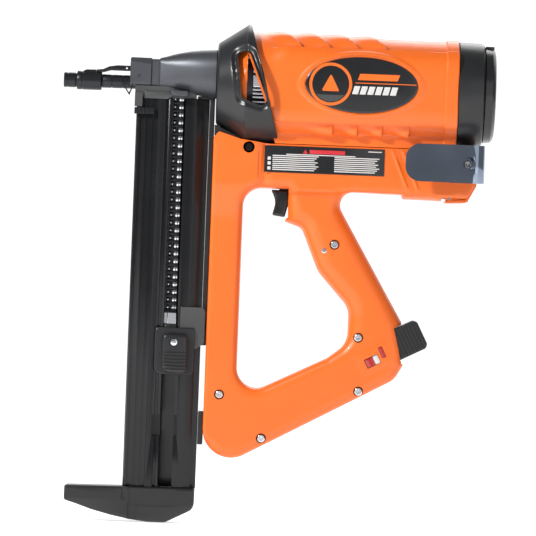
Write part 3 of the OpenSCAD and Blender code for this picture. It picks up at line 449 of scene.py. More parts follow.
def field(loops, rings, gap=3.2, extra=()):
    """Triangles over an outline with holes: rows of points that follow the edges, then a regular grid."""
    edges = [resample(loop, 2.2) for loop in loops]
    pts = [np.concatenate(edges)]
    for d in rings:
        for e in edges:
            run = np.roll(e, -1, axis=0) - np.roll(e, 1, axis=0)
            side = np.stack([-run[:, 1], run[:, 0]], 1) / np.hypot(*run.T)[:, None]
            for s in (1, -1):
                ring = e + side * d * s
                ring = ring[inside(edges, ring)]
                if len(ring):
                    pts.append(ring[nearest(edges, ring)[0] > d * 0.97 - 0.03])
    lo, hi = edges[0].min(0), edges[0].max(0)
    xs, zs = np.arange(lo[0], hi[0], gap), np.arange(lo[1], hi[1], gap * 0.87)
    grid = np.array([(x + gap / 2 * (k % 2), z) for k, z in enumerate(zs) for x in xs])
    grid = np.concatenate([grid[inside(edges, grid)], *[np.array(e, float) for e in extra]])
    grid = grid[inside(edges, grid)]
    pts.append(grid[nearest(edges, grid)[0] > rings[-1] * 0.5 + 1.2])
    flat = np.concatenate(pts)
    ends = np.cumsum([0] + [len(e) for e in edges])
    borders = [(a + i, a + (i + 1) % (b - a)) for a, b in zip(ends, ends[1:]) for i in range(b - a)]
    co, _, tris, *_ = delaunay_2d_cdt([Vector(p) for p in flat], borders, [], 0, 1e-3)
    co = np.array([tuple(c) for c in co])
    mid = np.array([co[list(t)].mean(0) for t in tris])
    keep = inside(edges, mid) & (nearest(edges, mid)[0] > 0.02)
    tris = [t for t, ok in zip(tris, keep) if ok]
    return co, tris, edges


# %% Depth of the handle's left face
TILT = math.radians(27)
LEG = (352.8, -229.8)
RIBS_BEHIND_LABEL, STEP_X, RIB_LEAN = (316.5, 326.5), 190.5, 0.42


def handle_half(x, z):
    """Half thickness of the handle at (x, z)."""
    wide_strut = smooth(z, -128, -92) * (1 - smooth(x, 186, 205))
    wide_bay = smooth(z, -103.5, -97.5) * smooth(x, 186, 205)
    return 20.5 + 6.5 * np.maximum(wide_strut, wide_bay)


def edge_radius(x, z):
    grip = smooth(-z, 98, 122) * (1 - smooth(-z, 218, 262)) * smooth(x, 205, 222)
    strut_front = 1 - smooth(x, 147, 150)
    top = smooth(z, -56.5, -55)
    base = 8 + 8.5 * grip
    base = base + (4.5 - base) * smooth(z, -108, -97) * smooth(x, 262, 282)
    base = base + (3.0 - base) * strut_front
    base = base + (2.0 - base) * smooth(x, 358, 366)
    return base + (0.6 - base) * top


def depth(loops, pts):
    """Plate whose edges roll over, plus the small relief."""
    d, q = nearest(loops, pts)
    h, r = handle_half(pts[:, 0], pts[:, 1]), edge_radius(q[:, 0], q[:, 1])
    y = h - r + np.sqrt(np.maximum(r * r - (r - np.minimum(d, r)) ** 2, 0))
    return y + handle_bumps(pts[:, 0], pts[:, 1], d)


def handle_bumps(x, z, d):
    """Small relief: two slanted ribs behind the label, a step before it and the plateau of the indicators."""
    out = 0.0
    for x0 in RIBS_BEHIND_LABEL:
        line = x0 + (-55 - z) * RIB_LEAN
        out = out + 0.9 * (1 - smooth(abs(x - line), 0.4, 2.0)) * smooth(z, -97, -93) * (1 - smooth(z, -57, -55))
    out = out - 0.5 * (1 - smooth(abs(x - STEP_X), 0.3, 1.1)) * smooth(z, -90, -84) * (1 - smooth(z, -58, -56))
    u = (x - LEG[0]) * math.cos(TILT) + (z - LEG[1]) * math.sin(TILT)
    w = -(x - LEG[0]) * math.sin(TILT) + (z - LEG[1]) * math.cos(TILT)
    plateau = smooth(u, -69, -66) * (1 - smooth(u, -38, -35)) * smooth(w, -14, -11) * (1 - smooth(w, 6, 9))
    return out + 0.5 * plateau * smooth(d, 4, 9)


loops = [np.array(rounded(p)).tolist() for p in (HANDLE, OPENING)]
lines = []
for x0 in RIBS_BEHIND_LABEL:
    for off in (-2.2, -1.1, -0.4, 0.4, 1.1, 2.2):
        lines.append([(x0 + off + RIB_LEAN * t, -55 - t) for t in np.arange(0.7, 42, 1.6)])
for off in (-1.2, -0.6, 0, 0.6, 1.2):
    lines.append([(STEP_X + off, z) for z in np.arange(-90, -56, 1.6)])
for z0 in (-104.3, -103, -101.6, -100.2, -98.8, -97.3, -96):
    lines.append([(x, z0) for x in np.arange(206, 262, 1.9)])
flat, tris, edges = field(loops, [0.3, 1.0, 2.1, 3.6, 5.6, 8.2, 11.4, 15.0], extra=lines)
print("handle face:", len(flat), "points,", len(tris), "triangles")


# %% Turn the depth into a shell
SEAM_GAP, HANDLE_WALL = 0.12, 2.6


def shell(name, flat, tris, edges, y):
    """Outer face at the given depths, side walls down to the seam, then thickened inwards."""
    verts = [(p[0], -h, p[1]) for p, h in zip(flat, y)]
    faces = [tuple(t) for t in tris]
    for e in edges:
        m, first = len(e), len(verts)
        top = [int(np.hypot(*(flat - p).T).argmin()) for p in e]
        verts += [(flat[t][0], -SEAM_GAP, flat[t][1]) for t in top]
        faces += [(top[i], top[(i + 1) % m], first + (i + 1) % m, first + i) for i in range(m)]
    obj = raw(name, verts, faces)
    tidy(obj.data)
    mesh = obj.data
    if sum(p.normal.y * p.area for p in mesh.polygons) > 0:
        mesh.flip_normals()
    return baked(obj, ("SOLIDIFY", {"thickness": HANDLE_WALL * MM, "offset": -1, "use_rim": True}))


half_shell = shell("handle_face", flat, tris, edges, depth(edges, flat))
print("shell:", len(half_shell.data.polygons), "faces")

# %% Cut the handle's openings and make the right half
def handle_cutters():
    door = slab(rect(365.5, 402, -130, -49.5), -24, 24)
    pocket = slab(rect(207.3, 230.3, -124.6, -89), -8.4, 8.4)
    shroud = lathe([(140, 0), (140, 36), (147, 39.8), (175.8, 58.3), (216, 58.3), (216, 0)], 96, (0, 1.5))
    wedge = [(v[0] if v[0] < 190 else min(v[0], 180.8 + (53 - v[2]) * 0.2634), v[1], v[2]) for v in shroud[0]]
    return door, pocket, (wedge, shroud[1])


def tilted(shape):
    """From the battery's own frame, whose x runs out of the leg, to the tool's frame."""
    c, s = math.cos(TILT), math.sin(TILT)
    return moved(shape, lambda x, y, z: (LEG[0] + x * c - z * s, y, LEG[1] + x * s + z * c))


bay = tilted(slab(rect(-125, 5, -19.5, 9.5), -17, 17))
socket = tilted(slab(rect(-36, 10, -15.5, 15.5), -18, 18))
right = mirrored(half_shell, "look_handle_right")
SCREWS = [(160.5, -296, 3.9), (202.1, -336.5, 3.9), (293.3, -288.2, 3.9), (291.3, -236.7, 3.9),
          (265.3, -148.7, 3.9), (180, -58.5, 4.6)]
recesses = [along_y(lathe([(-30, 0), (-30, r + 0.9), (-16.6, r + 0.9), (-16.6, 0)], 40), x, z)
            for x, z, r in SCREWS]
windows = [tilted(slab(rect(u0, u1, w0, w1, 1), -23, -16))
           for u0, u1, w0, w1 in ((-62.15, -47.85, -9.15, 0.15), (-45.15, -40.85, -6.15, 5.15))]
cut(half_shell, *handle_cutters(), bay, socket, *recesses, *windows)
half_shell.name = "look_handle_left"
cut(right, *handle_cutters(), bay, socket)
link_piece(half_shell, "orange_shell", "root", ["handle_left"])
link_piece(right, "orange_shell", "root", ["handle_right"])
print("left half:", len(half_shell.data.polygons), "faces, right half:", len(right.data.polygons))

# %% [markdown]
# ## Upper covers
# The engine covers are a thin barrel-shaped moulding with flattened sides, swept ribs on the shoulder,
# stepped fins along the bottom and a rim at the back. All of it is relief on one surface, so the radius is a
# function of the place along the barrel and the angle round it. Sculpting would give softer, uneven ribs.


# %% Radius of the covers
def rear_edge(z):
    """Where the slanted rear edge of the shroud is at height z."""
    return 180.0 + (53 - z) * 0.2634


def saw(x, line, reach, fall=1.6):
    """Rises over `reach` towards a line and drops just behind it."""
    return smooth(x, line - reach, line - 2) * (1 - smooth(x, line - fall, line))


def softmin(a, b, k):
    h = np.clip(0.5 + 0.5 * (b - a) / k, 0, 1)
    return b + (a - b) * h - k * h * (1 - h)


def cover_radius(x, a):
    s, c = np.maximum(np.sin(a), 1e-4), np.cos(a)
    base = 53.4 - 2.4 * smooth(x, 190, 366)
    z = base * c
    pad = smooth(z, -34.2, -32.2) * (1 - smooth(z, 36.8, 38.4)) * smooth(x, 196, 214)
    r = softmin(base - 1.5 + 3.6 * pad, (45.2 + 0.8 * pad) / s, 5)
    for x0 in (211, 238, 265, 292):
        line = x0 + (53 - np.clip(z, 30, 53)) * 1.25
        r = r + 4.2 * saw(x, line, 25, 1.5) * smooth(z, 36.5, 41) * (0.45 + 0.55 * smooth(a, 0.12, 0.5))
    low = smooth(-z, 33.5, 40) * (1 - smooth(a, 2.50, 2.60))
    for x1, reach in ((260, 36), (283.5, 21), (307, 21), (333, 22)):
        r = r + 6.0 * saw(x, x1 + 0.03 * (-z - 33), reach) * low
    e = np.hypot((x - 285) / 58.2, (z - 3.6) / 29.6)
    r = r + 1.3 * (1 - smooth(e, 0.985, 1.075)) / s - 1.0 * (1 - smooth(e, 0.915, 0.93)) / s
    slant = rear_edge(z)
    keel = np.minimum(26.9 / s, np.where(c < -0.05, 54.4 / np.maximum(-c, 0.05), 99))
    r = np.where((a > 2.4) & (x > slant - 3), np.maximum(r, keel), r)
    r = r + 1.6 * smooth(x, 364.8, 366.4) - 1.2 * smooth(x, 376.4, 377.6) ** 2
    front = 39.3 + (57.8 - 39.3) * np.clip((x - 147) / 28.8, 0, 1) - 4.4 - 5.5 * (1 - smooth(x, 174, 177.5))
    return np.minimum(r, np.where(x < 182, front, 99))


xs = np.unique(np.concatenate([np.arange(163, 377, 1.35), np.arange(364.6, 366.6, 0.3), np.arange(376, 377.7, 0.4),
                               *[np.arange(p - 2.4, p + 0.5, 0.4) for p in (260, 283.5, 307, 333)]]))
turns = np.unique(np.concatenate([np.linspace(0, 2.68, 118), np.linspace(0.68, 0.82, 12),
                                  np.linspace(2.22, 2.32, 9)]))
X, A = np.meshgrid(xs, turns, indexing="ij")
R = cover_radius(X, A)
verts = np.stack([X, -R * np.sin(A) - 0.12, R * np.cos(A)], -1).reshape(-1, 3)
n, m = len(xs), len(turns)
quads = [(i * m + j, i * m + j + 1, (i + 1) * m + j + 1, (i + 1) * m + j)
         for i in range(n - 1) for j in range(m - 1)]
cover = raw("look_cover_left", verts, quads)
tidy(cover.data, 38)
if sum(p.normal.y * p.area for p in cover.data.polygons) > 0:
    cover.data.flip_normals()
baked(cover, ("SOLIDIFY", {"thickness": 2.2 * MM, "offset": -1, "use_rim": True}))
cut(cover, slab([(176, -24, 0), (197.2, -24, 0), (176, 30.6, 0)], -70, 70))
other = mirrored(cover, "look_cover_right")
link_piece(cover, "orange_shell", "root", ["cover_left"])
link_piece(other, "orange_shell", "root", ["cover_right"])
print("cover:", len(cover.data.polygons), "faces")

# %% [markdown]
# ## Front shroud
# The black shroud is a cone that widens to a sharp shoulder and ends in a slanted edge. A window on each side
# sits in a sunken frame with a raised lip. Like the covers it is one height field, but its last column
# follows the slanted edge, so no sawn-off triangles appear there. The window itself is a Boolean cut.

# %% Shroud surface
WINDOW = [(171.5, -13.2, 5), (198.5, -22.1, 5), (176.9, 33.1, 5), (166, 29.8, 5)]
window_line = [resample(rounded(WINDOW), 1.5)]
front_cols = [(147, 34.9), (147, 36.6), (147.15, 37.6), (147.7, 38.7), (148.6, 39.6)]
front_cols += [(148.6 + 26.2 * k / 26, 39.6 + 17.4 * k / 26) for k in range(1, 27)] + [(175.3, 57.55)]
front_cols += [(176.1, 57.75)]


around = np.unique(np.round(np.concatenate([np.linspace(0, 360, 121)[:-1], np.arange(50, 118, 1.0),
                                            360 - np.arange(50, 118, 1.0)]), 3))
back_steps = np.concatenate([np.linspace(0.03, 0.93, 26), [0.965, 0.985, 1.0]])
rows = []
for t in np.radians(around):
    row = [(x, r) for x, r in front_cols]
    x1 = rear_edge(1.5 + 57.8 * math.cos(t))
    row += [(176.1 + (x1 - 176.1) * k, 57.8 - 0.9 * max(0, (k - 0.965) / 0.035) ** 2) for k in back_steps]
    rows.append([(x, t, r) for x, r in row])
P = np.array(rows)
Z = 1.5 + P[..., 2] * np.cos(P[..., 1])
flat_pts = np.stack([P[..., 0], Z], -1).reshape(-1, 2)
gap_to_window = nearest(window_line, flat_pts)[0] * np.where(inside(window_line, flat_pts), -1, 1)
sink = 3.4 * (1 - smooth(gap_to_window, 2.6, 7.2)) - 1.5 * (1 - smooth(gap_to_window, 1.1, 2.0))
sink = sink.reshape(Z.shape) * (abs(np.sin(P[..., 1])) > 0.4) * smooth(rear_edge(Z) - P[..., 0], 0.3, 2.5)
radius = P[..., 2] - sink
verts = np.stack([P[..., 0], -radius * np.sin(P[..., 1]), 1.5 + radius * np.cos(P[..., 1])], -1).reshape(-1, 3)
n, m = P.shape[:2]
quads = [(i * m + j, i * m + j + 1, (i + 1) % n * m + j + 1, (i + 1) % n * m + j)
         for i in range(n) for j in range(m - 1)]
shroud = raw("look_front_shroud", verts, quads)
tidy(shroud.data, 30)
centre_side = sum((p.normal.y * p.center.y + p.normal.z * p.center.z) * p.area for p in shroud.data.polygons)
if centre_side < 0:
    shroud.data.flip_normals()
baked(shroud, ("SOLIDIFY", {"thickness": 2.0 * MM, "offset": -1, "use_rim": True}))
cut(shroud, slab(WINDOW, -70, 70))
link_piece(shroud, "black_plastic", "root", ["front_shroud"])
print("shroud:", len(shroud.data.polygons), "faces")

# %% [markdown]
# ## Rear cap and grille
# Behind the covers sit a smooth cap and a slightly smaller grille with slats over the air filter. Both are
# turned parts, so their profile is drawn once and swept round the barrel line.

# %% Cap and grille
cap = raw("look_rear_cap", *lathe([(377.8, 0), (377.8, 49.4), (378.4, 50.1), (399, 49.4), (401.2, 48.6),
                                   (402.4, 47), (402.6, 45.5), (402.6, 0)], 96))
tidy(cap.data)
hollow = lathe([(370, 0), (370, 46.5), (398, 46), (398, 0)], 64)
ports = circled(rod(396, 405, 7.5, 32), 30, range(0, 360, 45))
cut(cap, hollow, *ports)
link_piece(cap, "black_plastic", "root", ["rear_cap"])

GRILLE = [(402.8, 0), (402.8, 45.2), (403.4, 46), (410, 45.3), (412.6, 42.5), (413.5, 39), (413.5, 0)]
grille = raw("look_filter_grille", *lathe(GRILLE, 96))
tidy(grille.data)
inner = lathe([(400, 0), (400, 42), (409, 41.4), (411, 37.5), (411, 0)], 64)
slots = [block((405, y - 1.6, -25 + abs(y) * 0.25), (420, y + 1.6, 25 - abs(y) * 0.25), 1.2)
         for y in np.arange(-33, 34, 6)]
cut(grille, inner, *slots)
studs = [block((403, -4 + 8 * k, 43.2), (411.5, 1.5 + 8 * k, 46.5), 0.8) for k in (-1, 0, 1)]
cut(grille, *studs, how="UNION")
link_piece(grille, "black_trim", "root", ["filter_grille"])
print("cap and grille ready")

# %% [markdown]
# ## Badge and label
# The oval badge is a flat plate with a rolled rim in the raised bezel, and the label is a thin plate on the
# compartment. Both carry neutral bars and rings where a maker's print would be. The print is thin geometry
# just above the plate, because it then needs no image and stays sharp at any distance.

# %% Badge and label with generic print
PRINT, RIM = (-0.6, 1), 2.2


def badge_plate(cx, cz, a, b, y0, y1, rise, n=72, rings=7):
    """Oval plate with a flat face whose rim rolls over by `rise`."""
    verts, faces = [(x, y0, z) for x, z in ellipse(cx, cz, a, b, n)], []
    for k in range(rings):
        t = k / rings
        y = y1 - rise * math.sin(math.pi / 2 * t)
        verts += [(x, y, z) for x, z in ellipse(cx, cz, a - RIM * t, b - RIM * t, n)]
    for k in range(rings):
        faces += [(k * n + i, k * n + (i + 1) % n, (k + 1) * n + (i + 1) % n, (k + 1) * n + i) for i in range(n)]
    return verts, faces + [list(range(n)), list(range(rings * n, rings * n + n))]


def slanted(x0, x1, z0, z1, lean=2.2):
    return [(x0, z0, 0.3), (x1, z0, 0.3), (x1 + lean, z1, 0.3), (x0 + lean, z1, 0.3)]


def inked(shape):
    """Lays a thin print onto the badge's face; y 0 is the surface and y 1 the top of the ink."""
    return moved(shape, lambda x, y, z: (x, -48.55 - 0.12 * y, z))


def circle(r, n):
    return [(x, z, 0) for x, z in ellipse(*EMBLEM, r, r, n)]


EMBLEM = (255.5, 3.6)
badge = badge_plate(285, 3.6, 53.4, 26.6, -46.6, -47.9, 0.65)
orange_print = [slab(circle(20.4, 72), *PRINT, [circle(17.6, 72)]),
                slab([(247, -3, 1), (264, -3, 1), (255.5, 13.5, 1)], *PRINT),
                slab(slanted(281, 319, 8.4, 14.4), *PRINT), slab(rect(279, 337, 5.2, 6.0), *PRINT)]
white_print = [slab(slanted(276 + 7.2 * k, 281.6 + 7.2 * k, -5.2, 2.6), *PRINT) for k in range(6)]
grey_print = slab([p for p in circle(16.6, 48) if p[1] < -5], -0.6, 0.6)
label = block((195.2, -27.75, -81.8), (309.8, -27.05, -56.2), 0.35)
red_print = [block((238, -27.9, -63), (272, -27.6, -59.2), 0.3),
             slab([(231.5, -63, 0.3), (236.5, -63, 0.3), (234, -59, 0.3)], -27.9, -27.6)]
rows_print = [block((x0, -27.88, -66.2 - 1.9 * k), (x1 - (k * 7) % 5, -27.6, -65.2 - 1.9 * k), 0.2)
              for k in range(8) for x0, x1 in ((203, 247), (262, 305))]
rows_print += [block((x0, -27.88, z), (x0 + w, -27.6, z + 0.9), 0.2)
               for x0, w, z in ((216, 66, -64.6), (294, 13, -59.5))]
rows_print += [block((198.3, -27.88, z), (201.4, -27.6, z + 3), 0.3) for z in (-70, -74.6, -79.4)]
for side, tag in ((1, "left"), (-1, "right")):
    parts = {"badge": (badge, "black_trim"), "label": (label, "black_trim"),
             "badge_orange": (inked(join(*orange_print)), "orange_shell"),
             "badge_white": (inked(join(*white_print)), "print_white"),
             "badge_grey": (inked(grey_print), "zinc_grey"),
             "label_red": (join(*red_print), "print_red"), "label_rows": (join(*rows_print), "print_white")}
    for name, (shape, mat) in parts.items():
        owner = {"badge": ["badge_plates"], "label": ["label_plates"]}.get(name, [])
        piece(f"look_{name}_{tag}", moved(shape, lambda x, y, z: (x, side * y, z)), mat, "root", owner)
print("badge and label on both sides")

# %% [markdown]
# ## Magazine
# The magazine is an extruded aluminium channel, anodised black, with thin ribs, a groove and an open slot that
# shows the pins. One section drawing pushed along its length gives all of these lines at once.

# %% Rail and foot
LEFT = [(71.6, -9.6), (72.2, -11.2), (73.5, -11.2), (73.5, -12.7), (74.5, -12.7), (74.5, -11.2), (79.5, -11.8),
        (79.5, -12.9), (80.5, -12.9), (80.5, -11.8), (85.5, -11.8), (85.5, -12.9), (86.5, -12.9), (86.5, -11.8),
        (91.6, -11.8), (92.0, -12.9), (99, -12.9), (99.4, -10.8), (101.8, -10.8), (102.2, -12.6), (103.2, -12.9),
        (104.6, -12.9), (104.9, -12.4)]
REAR = [(118.4, -12.9), (127.5, -12.9), (129, -12.3), (134.4, -9.2), (135.3, -8.8), (135.3, -6.4), (140.7, -6.4)]
CHANNEL = [(104.9, -3.8), (89.8, -3.8), (89.8, 3.8), (91.6, 3.8), (117.8, 3.8), (117.8, -12.4)]
section = [(70.9, -8.6)] + LEFT + CHANNEL + REAR + [(x, -y) for x, y in reversed(REAR)]
section += [(104.6, 12.9)] + [(x, -y) for x, y in reversed(LEFT[:-2])] + [(70.9, 8.6)]
FOOT_SCREWS_X = (78.8, 132)
rail = raw("look_magazine_rail", *prism(section, -386.9, -14.1))
tidy(rail.data, 20)
screw_bores = [upright(x, -400, -372, 1.9, 24) for x in FOOT_SCREWS_X]
cut(rail, slab(rect(97, 121, -338, -317, 1.5), -20, -3.9), *screw_bores)
baked(rail, ("BEVEL", {"width": 0.25 * MM, "segments": 2, "limit_method": "ANGLE",
                       "angle_limit": math.radians(35)}))
link_piece(rail, "anodised_rail", "root", ["magazine_rail"])

FOOT = [(15.4, -402.2, 3), (27, -405.6, 22), (42, -410.6, 40), (60, -415.1, 30), (78, -418.6, 20), (96, -420.7, 14),
        (113, -420.6, 10), (140.2, -406.9, 9), (140.2, -387.2, 0.8), (67, -387.2, 0.5), (15.6, -387.9, 2)]
foot = raw("look_magazine_foot", *plate(FOOT, -17, 17, 2.6, 4))
tidy(foot.data, 30)
recess = [slab(rect(78, 123.5, -405.5, -388.6, 1.5, 1.5, 1, 1), -18, -16.1),
          block((70.5, -20, -400), (75.5, -15.8, -386), 0.6),
          slab([(76.5, -418, 1), (85.5, -419.6, 1), (85.5, -403, 1), (76.5, -403, 1)], -20, -15.6)]
bores = [upright(x, -425, z1, r, 28) for x in FOOT_SCREWS_X for r, z1 in ((4.2, -395.8), (1.9, -380))]
cut(foot, *recess, *bores)
link_piece(foot, "black_plastic", "root", ["magazine_foot"])
print("rail and foot ready")

# %% [markdown]
# ## Follower
# A steel pusher rides in the slot below the last pin. It is pulled back by a black knob on a chamfered base.

# %% Follower pieces
KNOB_SCREW = (115.6, -247.6)
knob = piece("look_follower_knob", plate(rect(104.6, 128.4, -277.4, -239.8, 9, 5, 4, 4), -29.8, -19.1, 3.2, 5),
             "black_plastic", "follower", ["follower_knob"])
grips = [block((102, -32, z - 0.7), (131, -28.6, z + 0.7), 0.5) for z in np.arange(-273, -256, 3.2)]
cut(knob, along_y(rod(-31, -28.2, 4.3, 36), *KNOB_SCREW), *grips)
HEAD = [(-29.6, 0), (-29.6, 2.2), (-29.2, 3.2), (-28.3, 3.8), (-27.6, 3.8), (-27.6, 0)]
screw = piece("look_knob_screw", along_y(lathe(HEAD, 36), *KNOB_SCREW), "bright_steel", "follower")
cut(screw, block((113, -31, -248.1), (118.2, -28.9, -247.1), 0.1))
edged("follower_base", "black_plastic", 1.2)
edged("follower_pusher", "bright_steel", 0.5)
edged("follower_plate", "zinc_grey", 0.6)
print("follower ready")

# %% [markdown]
# ## Battery cap, trigger and belt hook
# Small parts that a hand touches have thick, soft edges; the hook is a bent strip of polished steel.

# %% Battery cap, trigger and hook
CAP = [(-34.8, -14.8, 3), (-2.5, -14.8, 4.5), (-0.3, -11, 3), (-0.3, 11, 3), (-2.5, 14.8, 4.5), (-34.8, 14.8, 3)]
cap_obj = raw("look_battery_cap", *tilted(plate(CAP, -17.4, 17.4, 2.2, 4)))
tidy(cap_obj.data)
grooves = [block((-29 + 3.4 * k, -19, -20), (-27.4 + 3.4 * k, -16.3, 20), 0.5) for k in range(8)]
grooves += [moved(groove, lambda x, y, z: (x, -y, z)) for groove in grooves]
cut(cap_obj, *[tilted(groove) for groove in grooves])
link_piece(cap_obj, "black_plastic", "battery", ["battery_cap"])

TRIGGER = [(202.6, -98.2, 1), (207.8, -109, 15), (204.4, -122.6, 1.6), (216.6, -124.2, 2), (220.5, -108.4, 6),
           (220.2, -98.2, 1)]
trigger = raw("look_trigger", *plate(TRIGGER, -7.9, 7.9, 2.4, 5))
tidy(trigger.data)
cut(trigger, block((210.5, -4.9, -101), (223.2, 4.9, -90.1), 0.4), how="UNION")
cut(trigger, lathe([(215, 0), (215, 3.6), (230, 3.6), (230, 0)], 32, (0, -112)))
link_piece(trigger, "black_trim", "trigger", ["trigger"])

edged("belt_hook", "hook_steel", 0.55)
edged("hook_screw", "spring_steel", 0.3)
print("battery cap, trigger and hook ready")

# %% [markdown]
# ## Screws and lenses
# Pan-head screws are turned profiles with a cross recess, sunk in their counterbores.

# %% Housing screws
heads, shanks = [], []
for x, z, r in SCREWS:
    socket_head = r > 4.2
    top = -20.3 if socket_head else -20.1
    profile = [(top, 0), (top, r * 0.75), (top + 0.45, r * 0.93), (top + 1.1, r)]
    profile += [(-17.6, r), (-17.6, 1.9), (14, 1.9), (14, 0)]
    screw = raw("screw", *along_y(lathe(profile, 40), x, z))
    tidy(screw.data)
    drive = [along_y(rod(-22, -18.6, r * 0.5, 6), x, z)] if socket_head else [
        block((x - r * 0.55, -22, z - 0.45), (x + r * 0.55, -18.9, z + 0.45), 0.1),
        block((x - 0.45, -22, z - r * 0.55), (x + 0.45, -18.9, z + r * 0.55), 0.1)]
    cut(screw, *drive)
    (heads if socket_head else shanks).append(screw)


def fused(name, objs, mat, replaces=()):
    """Joins finished meshes into one piece."""
    bm = bmesh.new()
    for o in objs:
        bm.from_mesh(o.data)
        bpy.data.objects.remove(o)
    mesh = bpy.data.meshes.new(name)
    bm.to_mesh(mesh)
    bm.free()
    tidy(mesh)
    return link_piece(bpy.data.objects.new(name, mesh), mat, "root", replaces)


fused("look_housing_screws", shanks, "bright_steel", ["housing_screws"])
fused("look_front_screw", heads, "dark_steel")
small = along_y(lathe([(-20.9, 0), (-20.9, 1.6), (-20.3, 2.4), (-19.6, 2.6), (-19.6, 0)], 28), 255.6, -154.8)
piece("look_small_screw", small, "bright_steel")
lens = [tilted(plate(rect(u0, u1, w0, w1, 0.8), -20.1, -18.5, 0.4, 2))
        for u0, u1, w0, w1 in ((-61.8, -53.5, -8.8, -0.2), (-45, -41, -6, 5))]
piece("look_indicator_lenses", join(*lens), "indicator_red", "root", ["indicator_lenses"])
piece("look_indicator_white", tilted(plate(rect(-53.3, -48.2, -8.8, -0.2, 0.8), -20.1, -18.6, 0.3, 2)),
      "print_white")
print("screws and lenses ready")

# %% [markdown]
# ## Nose casting
# The nose grows from a narrow block into a broad flare. A loft joins rounded sections placed along the
# barrel, so the flanks and shoulders flow into each other like a casting's, with no edges to clean up
# afterwards.


# %% Loft of the nose
def section_ring(w, z0, z1, r, per=7):
    r = min(r, w - 0.1, (z1 - z0) / 2 - 0.1)
    out = []
    for cy, cz, a0 in ((w - r, z1 - r, 0), (r - w, z1 - r, 90), (r - w, z0 + r, 180), (w - r, z0 + r, 270)):
        arc = [math.radians(a0 + 90 * k / per) for k in range(per + 1)]
        out += [(cy + r * math.cos(t), cz + r * math.sin(t)) for t in arc]
    return out


def loft(stations, per=7):
    rings = [[(x, y, z) for y, z in section_ring(w, z0, z1, r, per)] for x, w, z0, z1, r in stations]
    n = len(rings[0])
    verts = [v for ring in rings for v in ring]
    faces = [(k * n + i, k * n + (i + 1) % n, (k + 1) * n + (i + 1) % n, (k + 1) * n + i)
             for k in range(len(rings) - 1) for i in range(n)]
    return verts, faces + [list(range(n)), list(range(len(verts) - n, len(verts)))]


def closed_lathe(profile, n=64):
    """Turned part with a bore: the profile is a loop that doesn't touch the axis."""
    m = len(profile)
    turns = [2 * math.pi * k / n for k in range(n)]
    verts = [(x, r * math.cos(t), r * math.sin(t)) for t in turns for x, r in profile]
    faces = [(k * m + i, k * m + (i + 1) % m, (k + 1) % n * m + (i + 1) % m, (k + 1) % n * m + i)
             for k in range(n) for i in range(m)]
    return verts, faces


NOSE = [(63.6, 10.8, -2.4, 22.6, 2.5), (64.6, 12, -3.2, 23.7, 3), (83.4, 12, -3.4, 23.6, 3),
        (84.4, 10.6, -3.4, 22.7, 3),
        (91.2, 10.6, -4, 22.8, 3), (92.4, 12.6, -4.4, 23.9, 5), (97, 14.6, -5, 25.2, 8), (104, 17.6, -6, 27.4, 11),
        (112, 20.8, -7.4, 29.6, 14), (121, 24, -9, 31.3, 16), (131, 27, -10.6, 32.6, 18), (140, 29, -12, 33.3, 19),
        (146.2, 30, -12.9, 33.6, 19), (146.9, 29.4, -12.4, 33, 19)]
nose = raw("look_nose_casting", *loft(NOSE))
tidy(nose.data, 24)
spigot = lathe([(140, 0), (140, 9.4), (175.4, 9.4), (175.4, 35.3), (181.4, 35.3), (181.4, 0)], 72)
boss = [block((104, -24, -12.5), (120, -8, -7.2), 1.6), block((104, 8, -12.5), (120, 24, -7.2), 1.6)]
cut(nose, spigot, *boss, how="UNION")
dimple = along_y(lathe([(-12.6, 0), (-12.6, 2.0), (-11.2, 1.2), (-11.2, 0)], 28), 73, 6)
bolt_holes = circled(rod(174, 184, 2.1, 24), 31.8, (0, 90, 180, 270))
chamfer = slab([(60, 20.4, 0), (84, 17.6, 0), (84, 30, 0), (60, 30, 0)], -30, -10.2)
tilt = [moved(chamfer, lambda x, y, z, s=s: (x, s * (y + (z - 18.5) * 0.55), z)) for s in (1, -1)]
sleeve_bore, blade_bore = rod(60, 90.6, 6.56), rod(88, 186, 2.95, 48)
feed_slot, arm_slot = slab(rect(90.4, 117.5, -60, 3.7), -3.7, 3.7), slab(rect(60, 149, 9.85, 15.95), -5.35, 5.35)
cut(nose, sleeve_bore, blade_bore, feed_slot, arm_slot, dimple, *bolt_holes, *tilt)
link_piece(nose, "grey_casting", "root", ["nose_casting"])
print("nose:", len(nose.data.polygons), "faces")

# %% [markdown]
# ## Work contact
# Turned collars with small shoulders, a sliding tube and a bent arm above it: black steel, polished by use.

# %% Work contact
BORE = 3.5
TIP = [(0, 4.1), (0, 6.7), (0.5, 7.2), (3.4, 7.2), (3.7, 6.9), (4.4, 6.9), (4.7, 7.2), (11, 7.2), (11.6, 6.7),
       (12.3, 6.7), (12.9, 8.6), (13.6, 9), (17, 9), (17.4, 8.7), (18.2, 8.7), (18.6, 9), (35.4, 9), (36.4, 8),
       (36.4, BORE), (0.6, BORE)]
tip = raw("look_contact_tip", *closed_lathe(TIP))
tidy(tip.data)
lug = plate([(17.5, 5, 0), (31, 5, 0), (31, 10.6, 1), (21.5, 10.6, 2.5), (17.5, 8.4, 1.5)], -3.4, 3.4, 0.8, 3)
cut(tip, lug, how="UNION")
cut(tip, rod(-1, 37, BORE))
link_piece(tip, "dark_steel", "work_contact", ["contact_tip"])
TUBE = [(36.6, BORE), (36.6, 6.3), (37, 6.5), (45.4, 6.5), (45.7, 6.15), (46.6, 6.15), (46.9, 6.5), (56, 6.5),
        (56.3, 6.2), (57.2, 6.2), (57.5, 6.5), (74.6, 6.5), (75, 6.1), (75, BORE)]
piece("look_contact_sleeve", closed_lathe(TUBE), "dark_steel", "work_contact", ["contact_sleeve"])
